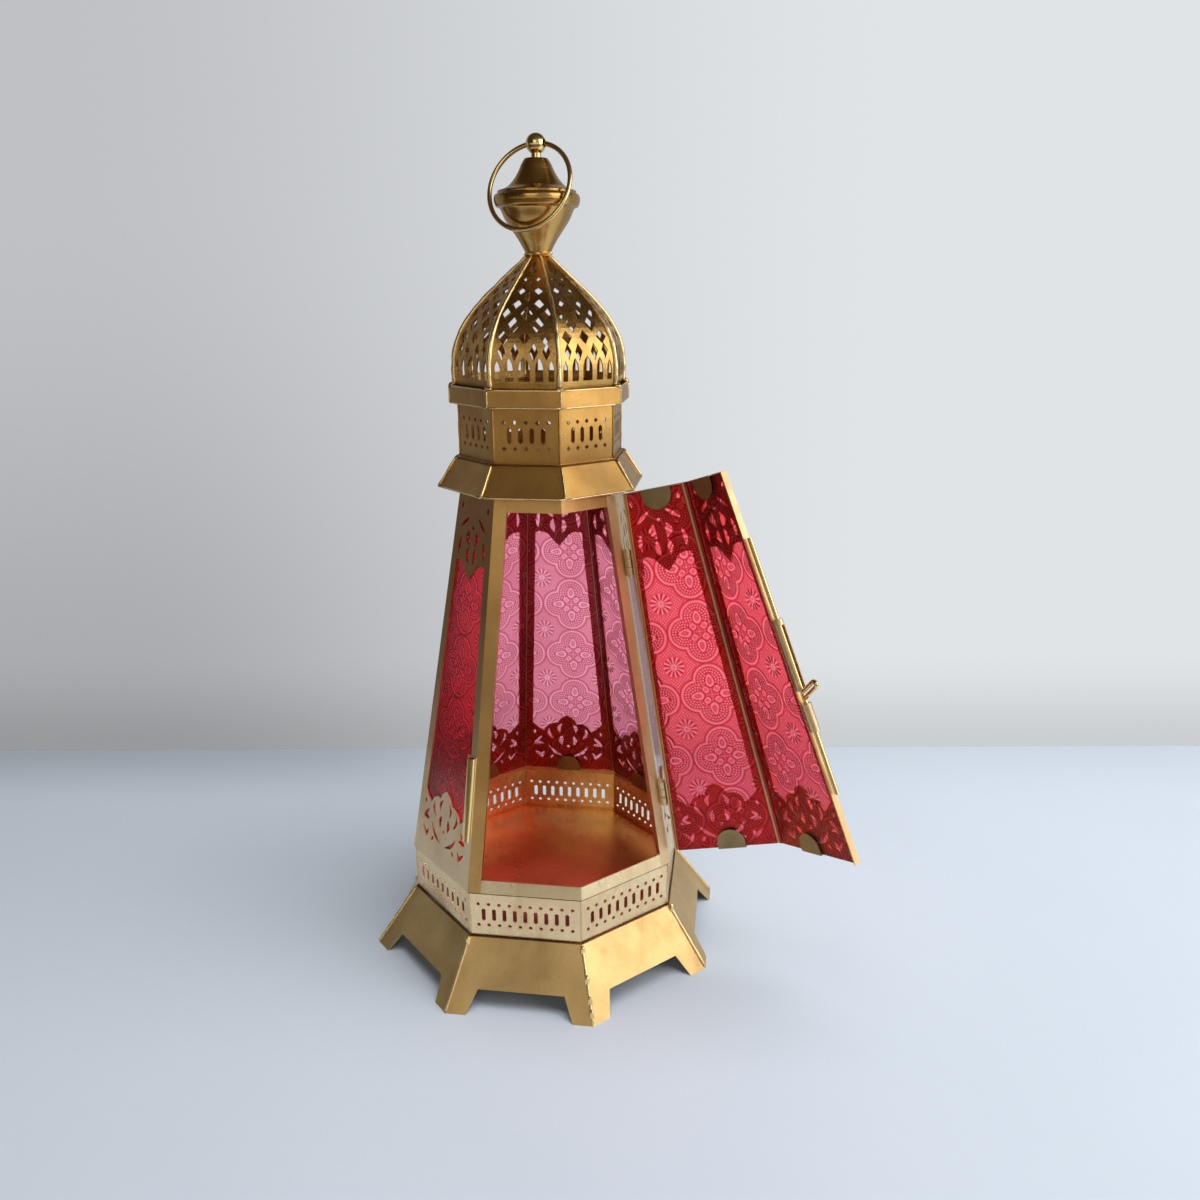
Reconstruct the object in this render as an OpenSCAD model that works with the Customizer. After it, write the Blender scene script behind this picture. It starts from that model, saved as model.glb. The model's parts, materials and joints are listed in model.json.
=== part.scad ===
// Tapered eight-sided candle lantern: a soldered sheet-metal body with pierced
// panels and embossed red panes, a two-leaf door with a drop bolt, a pierced
// dome, and a spun finial with a hanging ring. Millimetres, +Z up. The origin
// is on the axis at the level the feet stand on. Side 0 faces -Y, and the sides
// are counted towards +X. A corner has the number of the side before it.

/* [Body] */
// Distance from the axis to a side at the wall's foot
foot_flat = 75.5; // [66:0.5:95]
// Distance from the axis to a side at the wall's head
head_flat = 41.6; // [36:0.2:52]
// Upright height of the slanted wall
wall_h = 213; // [175:1:260]
// Thickness of the sheet metal
sheet = 0.8; // [0.6:0.1:1.2]
// Width of the plain border at each side of a panel
border_w = 5.6; // [4:0.2:7]
// Height of the pierced ornament at a panel's foot
crown_h = 46; // [36:1:60]
// Height of the pierced ornament at a panel's head
pendant_h = 48.2; // [36:1:60]

/* [Foot skirt] */
// Height of the foot skirt
skirt_h = 34; // [26:1:42]
// Distance from the axis to the skirt's lower edge
skirt_flat = 97.7; // [96:0.5:115]
// Height of the cut-out between two feet, up the slope
notch_h = 13.6; // [8:0.2:18]
// Width of the cut-out at its top
notch_top_w = 47.6; // [36:0.2:52]
// Width of the cut-out at the floor
notch_foot_w = 57.4; // [40:0.2:62]

/* [Lower gallery] */
// Height of the pierced gallery above the skirt
gallery_h = 27; // [22:0.5:36]
// Length of the gallery's edges that are tucked into the skirt and the wall
gallery_tuck = 1.5; // [1:0.1:3]
// Holes in a row of the lower gallery
gallery_holes = 10; // [6:1:11]
// Spacing of the holes in the lower gallery
gallery_pitch = 5.8; // [5:0.02:6.2]
// Height of the candle floor above the skirt's top
floor_rise = 2.5; // [1:0.1:6]
// Height of the bead round the candle floor
floor_lip_h = 1.2; // [0.8:0.1:2]

/* [Drum and dome] */
// Upright height of the eave
eave_h = 16; // [12:0.5:22]
// Distance from the axis to the eave's lower edge
eave_flat = 52.6; // [50:0.2:64]
// Height of the drum above the eave
drum_h = 28.1; // [22:0.5:36]
// Holes in a row of the drum
drum_holes = 5; // [3:1:6]
// Spacing of the holes in the drum
drum_pitch = 5.8; // [5:0.1:6.4]
// Height of the collar band
collar_h = 8.7; // [6:0.2:12]
// How far the collar stands out from the drum
collar_reach = 4.15; // [3:0.1:6]
// Height of the dome above the collar
dome_h = 65; // [52:1:80]

/* [Finial and ring] */
// Radius of the finial's widest rim
rim_r = 22; // [18:0.25:26]
// Height of the finial's lower cup
cup_h = 25.8; // [20:0.5:32]
// Height of the finial's upper cone
cone_h = 19.5; // [16:0.5:26]
// Radius of the ball on top
ball_r = 5.1; // [4.6:0.1:6.2]
// Radius of the ring's wire, and of the bolt's
wire_r = 1.2; // [1:0.05:1.4]
// Radius of the hanging ring, to the middle of its wire
ring_r = 22.5; // [21:0.25:27]
// Angle at which the ring leans on the finial
ring_lean = 21.8; // [20:0.2:30]
// Turn of the ring about the lantern's axis
ring_turn = -16.6; // [-40:0.2:40]

/* [Door] */
// Angle at which the door stands open
door_open = 126.5; // [60:0.5:150]
// Distance up the slope from the wall's foot to the door's lower edge
door_foot = 7.9; // [7:0.1:12]
// Distance down the slope from the wall's head to the door's upper edge
door_head_inset = 3.4; // [2:0.1:6]
// Thickness of a pane
pane_t = 1.8; // [1.5:0.1:2.4]
// Height of a hinge
hinge_h = 13.5; // [10:0.5:20]
// Distance along the corner to the lower hinge
low_hinge_at = 37; // [20:1:60]
// Distance along the corner from the wall's head down to the upper hinge's foot
high_hinge_drop = 47; // [36:1:70]

/* [Bolt] */
// Travel of the bolt
bolt_travel = 32; // [24:1:36]
// Distance along the corner to the tip of the dropped bolt
bolt_tip_at = 45.3; // [35:0.5:55]
// Distance along the corner from the wall's head down to the bolt's top end
bolt_top_drop = 38; // [34:1:60]
// Length of the keeper
keeper_h = 46; // [30:1:50]
// Length of the lower guide
low_guide_h = 14.4; // [10:0.2:20]
// Distance along the corner to the lower guide
low_guide_at = 78.2; // [76:0.2:84]
// Length of the bolt's pull
pull_len = 12; // [8:0.5:18]

/* [Hidden] */

gilt = "goldenrod";
ruby = "firebrick";
$fn = 48;

// The eight-sided layout
sides = 8;
side_turn = 360 / sides;
half_turn = side_turn / 2;
// Gap left for solder between two pieces
seam = 0.1;
// How far a cut runs past what it cuts
over = 1;
// Farther out than any piece of the body
reach = skirt_flat + foot_flat;

// Levels
wall_z = skirt_h + gallery_h;
head_z = wall_z + wall_h;
eave_top_z = head_z + eave_h;
drum_top_z = eave_top_z + drum_h;
collar_z = drum_top_z + seam;
dome_z = collar_z + collar_h;
dome_top_z = dome_z + dome_h;

// The wall: its lean, its slope length and its half width at a distance up the slope
wall_lean = atan((foot_flat - head_flat) / wall_h);
slope_len = norm([foot_flat - head_flat, wall_h]);
foot_half = foot_flat * tan(half_turn);
head_half = head_flat * tan(half_turn);
door_head = slope_len - door_head_inset;
corner_len = norm([(foot_flat - head_flat) / cos(half_turn), wall_h]);
high_hinge_at = corner_len - high_hinge_drop;
bolt_top_at = corner_len - bolt_top_drop;
function half_at(s) = foot_half - (foot_half - head_half) * s / slope_len;
function wall_flat(z) = foot_flat - (foot_flat - head_flat) * (z - wall_z) / wall_h;
function slope_at(z) = (z - wall_z) / cos(wall_lean);
// The gallery stands inside the skirt's head and the wall's foot, which are proud of it
gallery_foot_z = skirt_h - gallery_tuck;
gallery_head_z = wall_z + gallery_tuck;
gallery_flat = wall_flat(gallery_head_z) - sheet / cos(wall_lean) - seam;
// Upright panels end in the drum, this far above the eave's lower edge
drum_foot_rise = 8.5;
panel_tuck = 4.5;
drum_foot_z = head_z + drum_foot_rise;
panel_top_z = drum_foot_z + panel_tuck;
panel_top = slope_at(panel_top_z);
// Where a piece cut square to the slope starts, to stay clear of the gallery
square_foot = seam + sheet * tan(wall_lean) + seam;

// The corner edge of the wall: its lean and the half bend between two sides
corner_lean = atan((foot_flat - head_flat) / cos(half_turn) / wall_h);
bend_cos = pow(cos(wall_lean), 2) * cos(side_turn) + pow(sin(wall_lean), 2);
half_bend = acos(bend_cos) / 2;

// Panes and the tabs that hold them
pane_gap = 0.1;
tab_t = 0.5;
tab_gap = 0.05;
tab_w = 15.8;
tab_h = 10.6;
// A fixed pane's edges: at the sides, the foot and the head
pane_inset = 1.3;
pane_foot = 5;
pane_head_inset = 8;

// Door: the layers from the wall's face outwards
door_stand = 0.3;
door_inner = door_stand + tab_t + tab_gap + pane_t + pane_gap;
door_outer = door_inner + sheet;
door_edge_gap = 1.7;
free_edge_gap = 0.4;
door_pane_inset = 1.1;
fold_strip_w = 1.6;
post_w = 7;
hinge_post_w = 6;
post_return = 3;
sill_h = 7.6;
return_foot = sill_h + seam;
lintel_drop = 9;

// Hinge: the barrel fills the depth between the wall's face and the door leaf's
leaf_t = 0.6;
leaf_w = 7.5;
knuckle_r = (door_outer + leaf_t) / 2;
hinge_out = knuckle_r + seam;
hinge_off = hinge_out / cos(half_bend);
pin_r = 0.95;
pin_gap = 0.05;
pin_head_h = 0.8;
pin_head_r = 1.5;
knuckle_gap = 0.3;
barrel_gap = 0.35;

// Bolt: its line lies beside the door's free edge
guide_wall = 1.25;
bolt_gap = 0.05;
guide_r = wire_r + bolt_gap + guide_wall;
bolt_x = free_edge_gap - seam - guide_r;
bolt_out = (door_stand + door_outer) / 2;
keeper_gap = 0.25;
keeper_wall = 0.75;
keeper_r = wire_r + keeper_gap + keeper_wall;
keeper_foot_drop = 15.2;
keeper_at = bolt_tip_at - keeper_foot_drop;
keeper_tab_w = 8;
pull_rise = 25;
pull_pitch = 3.2;
pull_r = 1.1;
pull_slot_gap = 0.3;
low_guide_top = low_guide_at + low_guide_h;
pull_at = low_guide_top + seam + pull_r / cos(pull_rise) + guide_r * tan(pull_rise);
upper_guide_gap = 6.9;
upper_guide_at = low_guide_top + upper_guide_gap;
upper_guide_ring = 3;

// Finial
cup_foot_r = 6.4;
rod_r = 1.5;
rod_gap = 0.1;
spun_wall = 0.9;
rim_h = 7.6;
cone_top_r = 5.8;
neck_r = 2.5;
neck_h = 2.4;
washer_t = 0.8;
washer_r = 6.1;
nut_w = 5.5;
nut_h = 2.4;
cup_z = dome_top_z + washer_t + seam;
rim_z = cup_z + cup_h;
cone_top_z = rim_z + cone_h;
ball_z = cone_top_z + neck_h + sqrt(pow(ball_r, 2) - pow(neck_r, 2));
ring_hole_gap = 0.75;
ring_hole_r = wire_r + ring_hole_gap;
ring_set = 0.3;

// Points on a bow from p to q, whose middle lies b to the left; q is left out
bow_steps = 6;
function bow(p, q, b) = [for (i = [0:bow_steps - 1])
    let (t = i / bow_steps, d = q - p) p + d * t + [-d[1], d[0]] / norm(d) * b * 4 * t * (1 - t)];
// A leaf-shaped opening between two bows over the same chord
function leaf(p, q, b, c) = concat(bow(p, q, b), bow(q, p, -c));
function mirrored(points, hand) = [for (p = points) [hand * p[0], p[1]]];
function backwards(points) = [for (i = [len(points) - 1:-1:0]) points[i]];

// Openings of the foot ornament, right half: two ends and the two bows of each leaf.
// Across, shares of the foot's half width; up, and for the bows, shares of the crown's height.
crown_leaf_shares = [
    [0.085, 0.305, 0.43, 0.50, -0.060, -0.012],
    [0.10, 0.87, 0.16, 0.70, 0.010, 0.062],
    [0.11, 0.665, 0.125, 0.50, -0.012, 0.055],
    [0.38, 0.80, 0.29, 0.60, 0.020, 0.068],
    [0.70, 0.75, 0.72, 0.67, -0.018, 0.018],
    [0.56, 0.645, 0.745, 0.50, -0.030, 0.020],
    [0.52, 0.51, 0.745, 0.50, -0.010, 0.045],
    [0.74, 0.395, 0.56, 0.255, -0.030, 0.014],
    [0.525, 0.38, 0.575, 0.275, -0.012, 0.030],
    [0.335, 0.33, 0.40, 0.26, -0.020, 0.020]];
// Openings of the head ornament: across, shares of the head's half width; down from
// the head, and for the bows, shares of the pendant's height.
pendant_leaf_shares = [
    [0.24, 0.305, 0.72, 0.44, -0.022, 0.022],
    [0.20, 0.46, 0.165, 0.625, -0.012, 0.070],
    [0.165, 0.635, 0.135, 0.83, -0.010, 0.052],
    [0.64, 0.54, 0.71, 0.76, -0.010, 0.040],
    [0.74, 0.165, 0.76, 0.24, -0.020, 0.020]];
// Where the window meets the crown: the peak, the dome's foot, the shoulder, the dip, the border
crown_edge_shares = [[0, 1], [0.20, 0.865], [0.265, 0.87], [0.50, 0.735], [0, 0.87]];
// Where the window meets the pendant: the tip, the root of the tip and the border
pendant_edge_shares = [[0, 1], [0.37, 0.845], [0, 0.82]];
// Bows of the window's edge, as shares of the crown's and the pendant's height
crown_bow_shares = [0.025, 0.035, -0.012];
pendant_bow_shares = [0.022, 0.004];
// Radius of the round dots in the ornaments, and their places as shares like the leaves'
dot_r = 0.95;
crown_dot_shares = [0, 0.48];
pendant_dot_shares = [0, 0.42];

// Pierced gallery and drum
dot_hole_r = 1;
slot_w = 2.2;
slot_len = 7.2;
slot_chamfer = 0.6;
gallery_row = 6.4;
drum_slot_w = 2.3;
drum_slot_len = 8.3;
drum_slot_chamfer = 1.1;
drum_dot_r = 1.25;
drum_row = 6.6;
drum_row_rise = 14.1;

// Dome: the side's profile is one curve, from two end points and two handles.
dome_step = 0.9;
dome_foot_flat = wall_flat(drum_foot_z) + seam + sheet + dome_step;
dome_top_flat = 5.1;
dome_handle_shares = [[1.085, 0.446], [0.742, 0.61]];
dome_steps = 26;
gore_border = 1.6;
// Tables of the gore's openings, right half. Up: shares of the curve's length. Across: shares
// of the gore's half width at its foot.
// Openings with pointed heads: middle, half width, foot, end of the straight part, tip
lancet_shares = [[0, 0.166, 0.052, 0.131, 0.206], [0.437, 0.113, 0.052, 0.125, 0.197],
    [0.785, 0.083, 0.052, 0.119, 0.180]];
// How far the heads bulge, as a share of their half width
lancet_bulge_share = 0.24;
// Four-sided openings between crossing bars: middle across and up, half width, reach down and up
mesh_shares = [[0.276, 0.234, 0.132, 0.060, 0.054], [0.647, 0.237, 0.121, 0.056, 0.053],
    [0, 0.325, 0.172, 0.047, 0.047], [0.603, 0.325, 0.178, 0.047, 0.047],
    [0.333, 0.4125, 0.190, 0.0545, 0.0545],
    [0, 0.491, 0.176, 0.053, 0.053], [0.575, 0.489, 0.155, 0.046, 0.046],
    [0.305, 0.561, 0.165, 0.043, 0.043], [0, 0.624, 0.163, 0.040, 0.040],
    [0.262, 0.675, 0.135, 0.034, 0.034], [0, 0.731, 0.132, 0.035, 0.035],
    [0.172, 0.779, 0.080, 0.024, 0.024], [0, 0.858, 0.126, 0.044, 0.108]];

// Places a child on a corner's edge: the child's Z runs up the edge, and -Y faces out
module at_corner(number) {
    rotate([0, 0, side_turn * number + half_turn])
        translate([0, -foot_flat / cos(half_turn), wall_z])
            rotate([-corner_lean, 0, 0]) children();
}

// Places a child on a wall's face: X runs across, Y up the slope and Z outwards
module on_wall(number) {
    rotate([0, 0, side_turn * number]) translate([0, -foot_flat, wall_z])
        rotate([90 - wall_lean, 0, 0]) children();
}

// One side's slice of the octagon, short of its corners by the gap
module side_slice(gap, low_z, high_z) {
    translate([0, -gap / sin(half_turn), low_z]) linear_extrude(high_z - low_z)
        polygon([[0, 0], [-reach * tan(half_turn), -reach], [reach * tan(half_turn), -reach]]);
}

// A plate from one level to another, mitred at both corners; t is square to its face
module mitred_plate(low_flat, low_z, high_flat, high_z, t) {
    across = t * norm([low_flat - high_flat, high_z - low_z]) / (high_z - low_z);
    intersection() {
        rotate([90, 0, 90]) translate([0, 0, -reach / 2]) linear_extrude(reach)
            polygon([[-low_flat, low_z], [-high_flat, high_z], [across - high_flat, high_z],
                [across - low_flat, low_z]]);
        side_slice(seam / 2, low_z - over, high_z + over);
    }
}

module each_side(from = 0, to = sides - 1) {
    for (i = [from:to]) rotate([0, 0, side_turn * i]) children();
}

// Turns what is drawn as closed about the hinge's axis, to stand open
corner_out = [sin(side_turn + half_turn), -cos(side_turn + half_turn), 0];
hinge_axis = [0, 0, cos(corner_lean)] - corner_out * sin(corner_lean);
hinge_point = corner_out * (foot_flat / cos(half_turn) + hinge_off * cos(corner_lean))
    + [0, 0, wall_z + hinge_off * sin(corner_lean)];
module opened() {
    translate(hinge_point) rotate(a = door_open, v = hinge_axis) translate(-hinge_point) children();
}

// Foot skirt: eight sloping sides, each cut away between its feet
skirt_slope = norm([skirt_flat - gallery_flat, skirt_h]);
skirt_top_flat = gallery_flat + seam + sheet * skirt_slope / skirt_h;
skirt_lean = atan((skirt_flat - skirt_top_flat) / skirt_h);
module foot_skirt() color(gilt) each_side() difference() {
    mitred_plate(skirt_flat, 0, skirt_top_flat, skirt_h, sheet);
    translate([0, -skirt_flat, 0]) rotate([90 - skirt_lean, 0, 0]) translate([0, 0, -sheet - over])
        linear_extrude(sheet + 2 * over)
            polygon([[-notch_foot_w / 2 - over, -over], [-notch_top_w / 2, notch_h],
                [notch_top_w / 2, notch_h], [notch_foot_w / 2 + over, -over]]);
}

// An upright slot with chamfered ends
module chamfered_slot(w, h, c) {
    polygon([for (hand = [1, -1]) for (p = [[w / 2 - c, -h / 2], [w / 2, c - h / 2],
        [w / 2, h / 2 - c], [w / 2 - c, h / 2]]) p * hand]);
}

// Two rows of small holes with a row of slots between them
module pierced_rows(holes, pitch, row, w, h, c) {
    for (i = [0:holes - 1], hand = [-1, 1])
        translate([(i - (holes - 1) / 2) * pitch, hand * row]) children();
    for (i = [0:holes - 2]) translate([(i - (holes - 2) / 2) * pitch, 0]) chamfered_slot(w, h, c);
}

module lower_gallery() color(gilt) each_side() difference() {
    mitred_plate(gallery_flat, gallery_foot_z, gallery_flat, gallery_head_z, sheet);
    translate([0, -gallery_flat - over, skirt_h + gallery_h / 2]) rotate([90, 0, 0])
        mirror([0, 0, 1]) linear_extrude(sheet + 2 * over)
            pierced_rows(gallery_holes, gallery_pitch, gallery_row, slot_w, slot_len, slot_chamfer)
                circle(dot_hole_r);
}

// An eight-sided prism, given the distance to its sides
module octagon(flat, h) {
    rotate([0, 0, half_turn]) linear_extrude(h) circle(flat / cos(half_turn), $fn = sides);
}

module candle_floor() color(gilt) {
    floor_flat = gallery_flat - sheet - seam;
    floor_z = skirt_h + floor_rise;
    difference() {
        translate([0, 0, floor_z - sheet]) octagon(floor_flat, sheet + floor_lip_h);
        translate([0, 0, floor_z]) octagon(floor_flat - sheet, floor_lip_h + over);
    }
}

// A strip of wall plate between two edges given across the slope
module wall_strip(number, points, low, t) {
    on_wall(number) translate([0, 0, low]) linear_extrude(t) polygon(points);
}

// The strip beside a corner: hand is -1 for the corner before the side, +1 for its own
module post_strip(number, hand, w) {
    intersection() {
        union() {
            wall_strip(number, [for (e = [[square_foot, over], [panel_top, over], [panel_top, -w],
                [square_foot, -w]]) [hand * (half_at(e[0]) + e[1]), e[0]]], -sheet, sheet);
            wall_strip(number, [for (e = [[return_foot, sheet - w], [panel_top, sheet - w],
                [panel_top, -w], [return_foot, -w]]) [hand * (half_at(e[0]) + e[1]), e[0]]],
                -post_return, post_return);
        }
        rotate([0, 0, side_turn * number]) side_slice(seam / 2, wall_z - over, panel_top_z + over);
    }
}
module lock_post() color(gilt) post_strip(0, -1, post_w);
module hinge_post() color(gilt) post_strip(1, 1, hinge_post_w);

// A rail across both door sides, between the posts, from one slope distance to another
module door_rail(low, high) {
    for (row = [[0, -1, post_w], [1, 1, hinge_post_w]]) intersection() {
        wall_strip(row[0], [[row[1] * (half_at(low) - row[2] - seam), low],
            [row[1] * (half_at(high) - row[2] - seam), high],
            [-row[1] * (half_at(high) + over), high],
            [-row[1] * (half_at(low) + over), low]], -sheet, sheet);
        rotate([0, 0, side_turn * row[0]]) side_slice(seam / 2, wall_z - over, panel_top_z + over);
    }
}
module door_sill() color(gilt) door_rail(square_foot, sill_h);
module door_lintel() color(gilt) door_rail(slope_len - lintel_drop, panel_top);

// The window of a panel, between its two ornaments, with the given side border
function crown_point(share) = [share[0] * foot_half, share[1] * crown_h];
function pendant_point(share) = [share[0] * head_half, slope_len - share[1] * pendant_h];
function window_half(border) = let (
        c = [for (e = crown_edge_shares) crown_point(e)],
        p = [for (e = pendant_edge_shares) pendant_point(e)],
        low = [half_at(c[4][1]) - border, c[4][1]],
        high = [half_at(p[2][1]) - border, p[2][1]])
    concat(bow(c[0], c[1], crown_bow_shares[0] * crown_h), [c[1]],
        bow(c[2], c[3], crown_bow_shares[1] * crown_h),
        bow(c[3], low, crown_bow_shares[2] * crown_h), [low],
        bow(high, p[1], -pendant_bow_shares[0] * pendant_h),
        bow(p[1], p[0], pendant_bow_shares[1] * pendant_h), [p[0]]);
module window(border) {
    right = window_half(border);
    left = mirrored([for (i = [1:len(right) - 2]) right[i]], -1);
    polygon(concat(right, backwards(left)));
}

// The pierced openings of both ornaments
module ornament() {
    for (hand = [-1, 1]) {
        for (row = crown_leaf_shares)
            polygon(mirrored(leaf(crown_point([row[0], row[1]]), crown_point([row[2], row[3]]),
                row[4] * crown_h, row[5] * crown_h), hand));
        for (row = pendant_leaf_shares)
            polygon(mirrored(leaf(pendant_point([row[0], row[1]]), pendant_point([row[2], row[3]]),
                row[4] * pendant_h, row[5] * pendant_h), hand));
    }
    translate(crown_point(crown_dot_shares)) circle(dot_r);
    translate(pendant_point(pendant_dot_shares)) circle(dot_r);
}

// A fixed panel: a mitred plate with its window and ornaments
module side_panel(number) color(gilt) difference() {
    rotate([0, 0, side_turn * number]) mitred_plate(foot_flat - seam * tan(wall_lean), wall_z + seam,
        wall_flat(panel_top_z), panel_top_z, sheet);
    on_wall(number) translate([0, 0, -sheet - over]) linear_extrude(sheet + 2 * over) {
        window(border_w);
        ornament();
    }
}
module side_panel_right() side_panel(2);
module side_panel_back_right() side_panel(3);
module side_panel_back() side_panel(4);
module side_panel_back_left() side_panel(5);
module side_panel_left() side_panel(6);
module side_panel_front_left() side_panel(7);

// A fixed pane lies behind its panel
pane_head = slope_len - pane_head_inset;
fixed_pane_low = -sheet - pane_gap - pane_t;
module fixed_pane(number) color(ruby) wall_strip(number,
    [[half_at(pane_foot) - pane_inset, pane_foot], [half_at(pane_head) - pane_inset, pane_head],
    [pane_inset - half_at(pane_head), pane_head], [pane_inset - half_at(pane_foot), pane_foot]],
    fixed_pane_low, pane_t);
module pane_right() fixed_pane(2);
module pane_back_right() fixed_pane(3);
module pane_back() fixed_pane(4);
module pane_back_left() fixed_pane(5);
module pane_left() fixed_pane(6);
module pane_front_left() fixed_pane(7);

// A tab folded round a pane's edge: a web beside the edge and a round tongue over the
// pane. It is drawn on the panel's back at z = 0, with the pane below and the edge at y = 0.
module pane_tab(w = tab_w) {
    deep = pane_gap + pane_t + tab_gap + tab_t;
    translate([-w / 2, -tab_gap - tab_t, -deep]) cube([w, tab_t, deep - seam / 2]);
    intersection() {
        translate([0, tab_h - w / 2, -deep]) cylinder(r = w / 2, h = tab_t);
        translate([-w, -tab_gap - tab_t, -deep]) cube([2 * w, 2 * w, tab_t]);
    }
    translate([-w / 2, -tab_gap - tab_t, -deep])
        cube([w, tab_h - w / 2 + tab_gap + tab_t, tab_t]);
}
module pane_tabs() color(gilt) for (i = [2:sides - 1]) on_wall(i) {
    translate([0, pane_foot, -sheet]) pane_tab();
    translate([0, pane_head, -sheet]) rotate([0, 0, 180]) pane_tab(tab_w * head_half / foot_half);
}

// Eave, drum and collar
drum_flat = wall_flat(drum_foot_z) + seam + sheet;
eave_rise = norm([eave_flat - drum_flat, eave_h]) / eave_h;
eave_top_flat = drum_flat + seam + sheet * eave_rise;
module eave() color(gilt) each_side()
    mitred_plate(eave_flat, head_z, eave_top_flat, eave_top_z, sheet);

module drum() color(gilt) each_side() difference() {
    mitred_plate(drum_flat, drum_foot_z, drum_flat, drum_top_z, sheet);
    translate([0, -drum_flat - over, eave_top_z + drum_row_rise]) rotate([90, 0, 0]) mirror([0, 0, 1])
        linear_extrude(sheet + 2 * over)
            pierced_rows(drum_holes, drum_pitch, drum_row, drum_slot_w, drum_slot_len,
                drum_slot_chamfer) circle(drum_dot_r, $fn = 4);
}

// The collar is an angle section: a ledge on the drum's edge and a band round the dome's foot
collar_flat = drum_flat + collar_reach;
ledge_w = 9;
module collar() color(gilt) each_side() intersection() {
    rotate([90, 0, 90]) translate([0, 0, -reach / 2]) linear_extrude(reach)
        polygon([[-collar_flat, collar_z], [-collar_flat, dome_z], [sheet - collar_flat, dome_z],
            [sheet - collar_flat, collar_z + sheet], [ledge_w - collar_flat, collar_z + sheet],
            [ledge_w - collar_flat, collar_z]]);
    side_slice(seam / 2, collar_z - over, dome_z + over);
}

// Dome profile: distance of the outer face from the axis, and level, along the curve
dome_seat_z = collar_z + sheet + seam;
function dome_curve(t) = let (
        h = dome_handle_shares,
        a = [dome_foot_flat, 0], b = [h[0][0] * dome_foot_flat, h[0][1] * dome_h],
        c = [h[1][0] * dome_foot_flat, h[1][1] * dome_h], d = [dome_top_flat, dome_h])
    a * pow(1 - t, 3) + b * 3 * t * pow(1 - t, 2) + c * 3 * t * t * (1 - t) + d * pow(t, 3);
dome_points = [for (i = [0:dome_steps]) dome_curve(i / dome_steps) + [0, dome_z]];
// The same profile moved in by the sheet's thickness, square to the curve
function dome_inward(i) = let (
        p = dome_points[max(i - 1, 0)], q = dome_points[min(i + 1, dome_steps)], d = q - p)
    dome_points[i] + [-d[1], d[0]] / norm(d) * sheet;
module gore_blank() intersection() {
    rotate([90, 0, 90]) translate([0, 0, -reach / 2]) linear_extrude(reach)
        polygon([for (p = concat([[dome_foot_flat, dome_seat_z]], dome_points,
            [for (i = [dome_steps:-1:0]) dome_inward(i)], [[dome_foot_flat - sheet, dome_seat_z]]))
            [-p[0], p[1]]]);
    side_slice(seam / 2, dome_seat_z - over, dome_top_z + over);
}

// The lattice is laid out on the flattened gore: across, and up along the curve from the
// dome's foot. A point laid out so is looked up on the curve, to be cut from the front.
function run_to(i) = i == 0 ? 0 : run_to(i - 1) + norm(dome_points[i] - dome_points[i - 1]);
run_levels = [for (i = [0:dome_steps]) [run_to(i), dome_points[i][1]]];
run_halves = [for (i = [0:dome_steps]) [run_to(i), dome_points[i][0] * tan(half_turn)]];
dome_run = run_to(dome_steps);
gore_half = dome_foot_flat * tan(half_turn);
function on_gore(points) = [for (p = points) [p[0], lookup(p[1], run_levels)]];
// An opening's corner is kept this side of the gore's border
function in_room(p) = let (room = lookup(p[1], run_halves) - gore_border)
    [min(max(p[0], -room), room), p[1]];

// A straight opening with a pointed head, bulging a little
module lancet(x, half, foot, spring, tip) {
    right = bow([x + half, spring], [x, tip], -lancet_bulge_share * half);
    left = [for (i = [1:bow_steps - 1]) [2 * x - right[bow_steps - i][0], right[bow_steps - i][1]]];
    polygon(on_gore(concat([[x - half, foot], [x + half, foot]], right, [[x, tip]], left,
        [[x - half, spring]])));
}

module lattice() {
    for (row = lancet_shares, hand = (row[0] == 0 ? [1] : [-1, 1]))
        lancet(hand * row[0] * gore_half, row[1] * gore_half, row[2] * dome_run,
            row[3] * dome_run, row[4] * dome_run);
    for (row = mesh_shares, hand = (row[0] == 0 ? [1] : [-1, 1])) let (
            x = hand * row[0] * gore_half, v = row[1] * dome_run, a = row[2] * gore_half)
        polygon(on_gore([for (p = [[x, v - row[3] * dome_run], [x + a, v],
            [x, v + row[4] * dome_run], [x - a, v]]) in_room(p)]));
}
module dome_gores() color(gilt) each_side() difference() {
    gore_blank();
    rotate([90, 0, 0]) linear_extrude(reach) lattice();
}

// A disc with a hole for the finial's rod
module apex_washer() color(gilt) translate([0, 0, dome_top_z + seam / 2]) difference() {
    cylinder(r = washer_r, h = washer_t);
    translate([0, 0, -over]) cylinder(r = rod_r + rod_gap, h = washer_t + 2 * over);
}

// Finial cup: a spun shell, open upwards, with a floor round the rod
cup_side_shares = [[0, 0], [0.20, 0.225], [0.42, 0.41], [0.635, 0.605], [0.77, 0.79], [0.80, 0.86]];
function cup_point(share) = [cup_foot_r + share[0] * (rim_r - cup_foot_r), cup_z + share[1] * cup_h];
// A spun shell inside an outline closed to the rod's bore, open at one end; lift is the
// wall, up for a shell open upwards and down for one open downwards
module spun_shell(points, lift) rotate_extrude($fn = 96) difference() {
    polygon(points);
    intersection() {
        translate([-abs(lift), 0]) polygon(points);
        translate([0, lift]) polygon(points);
    }
}
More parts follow.
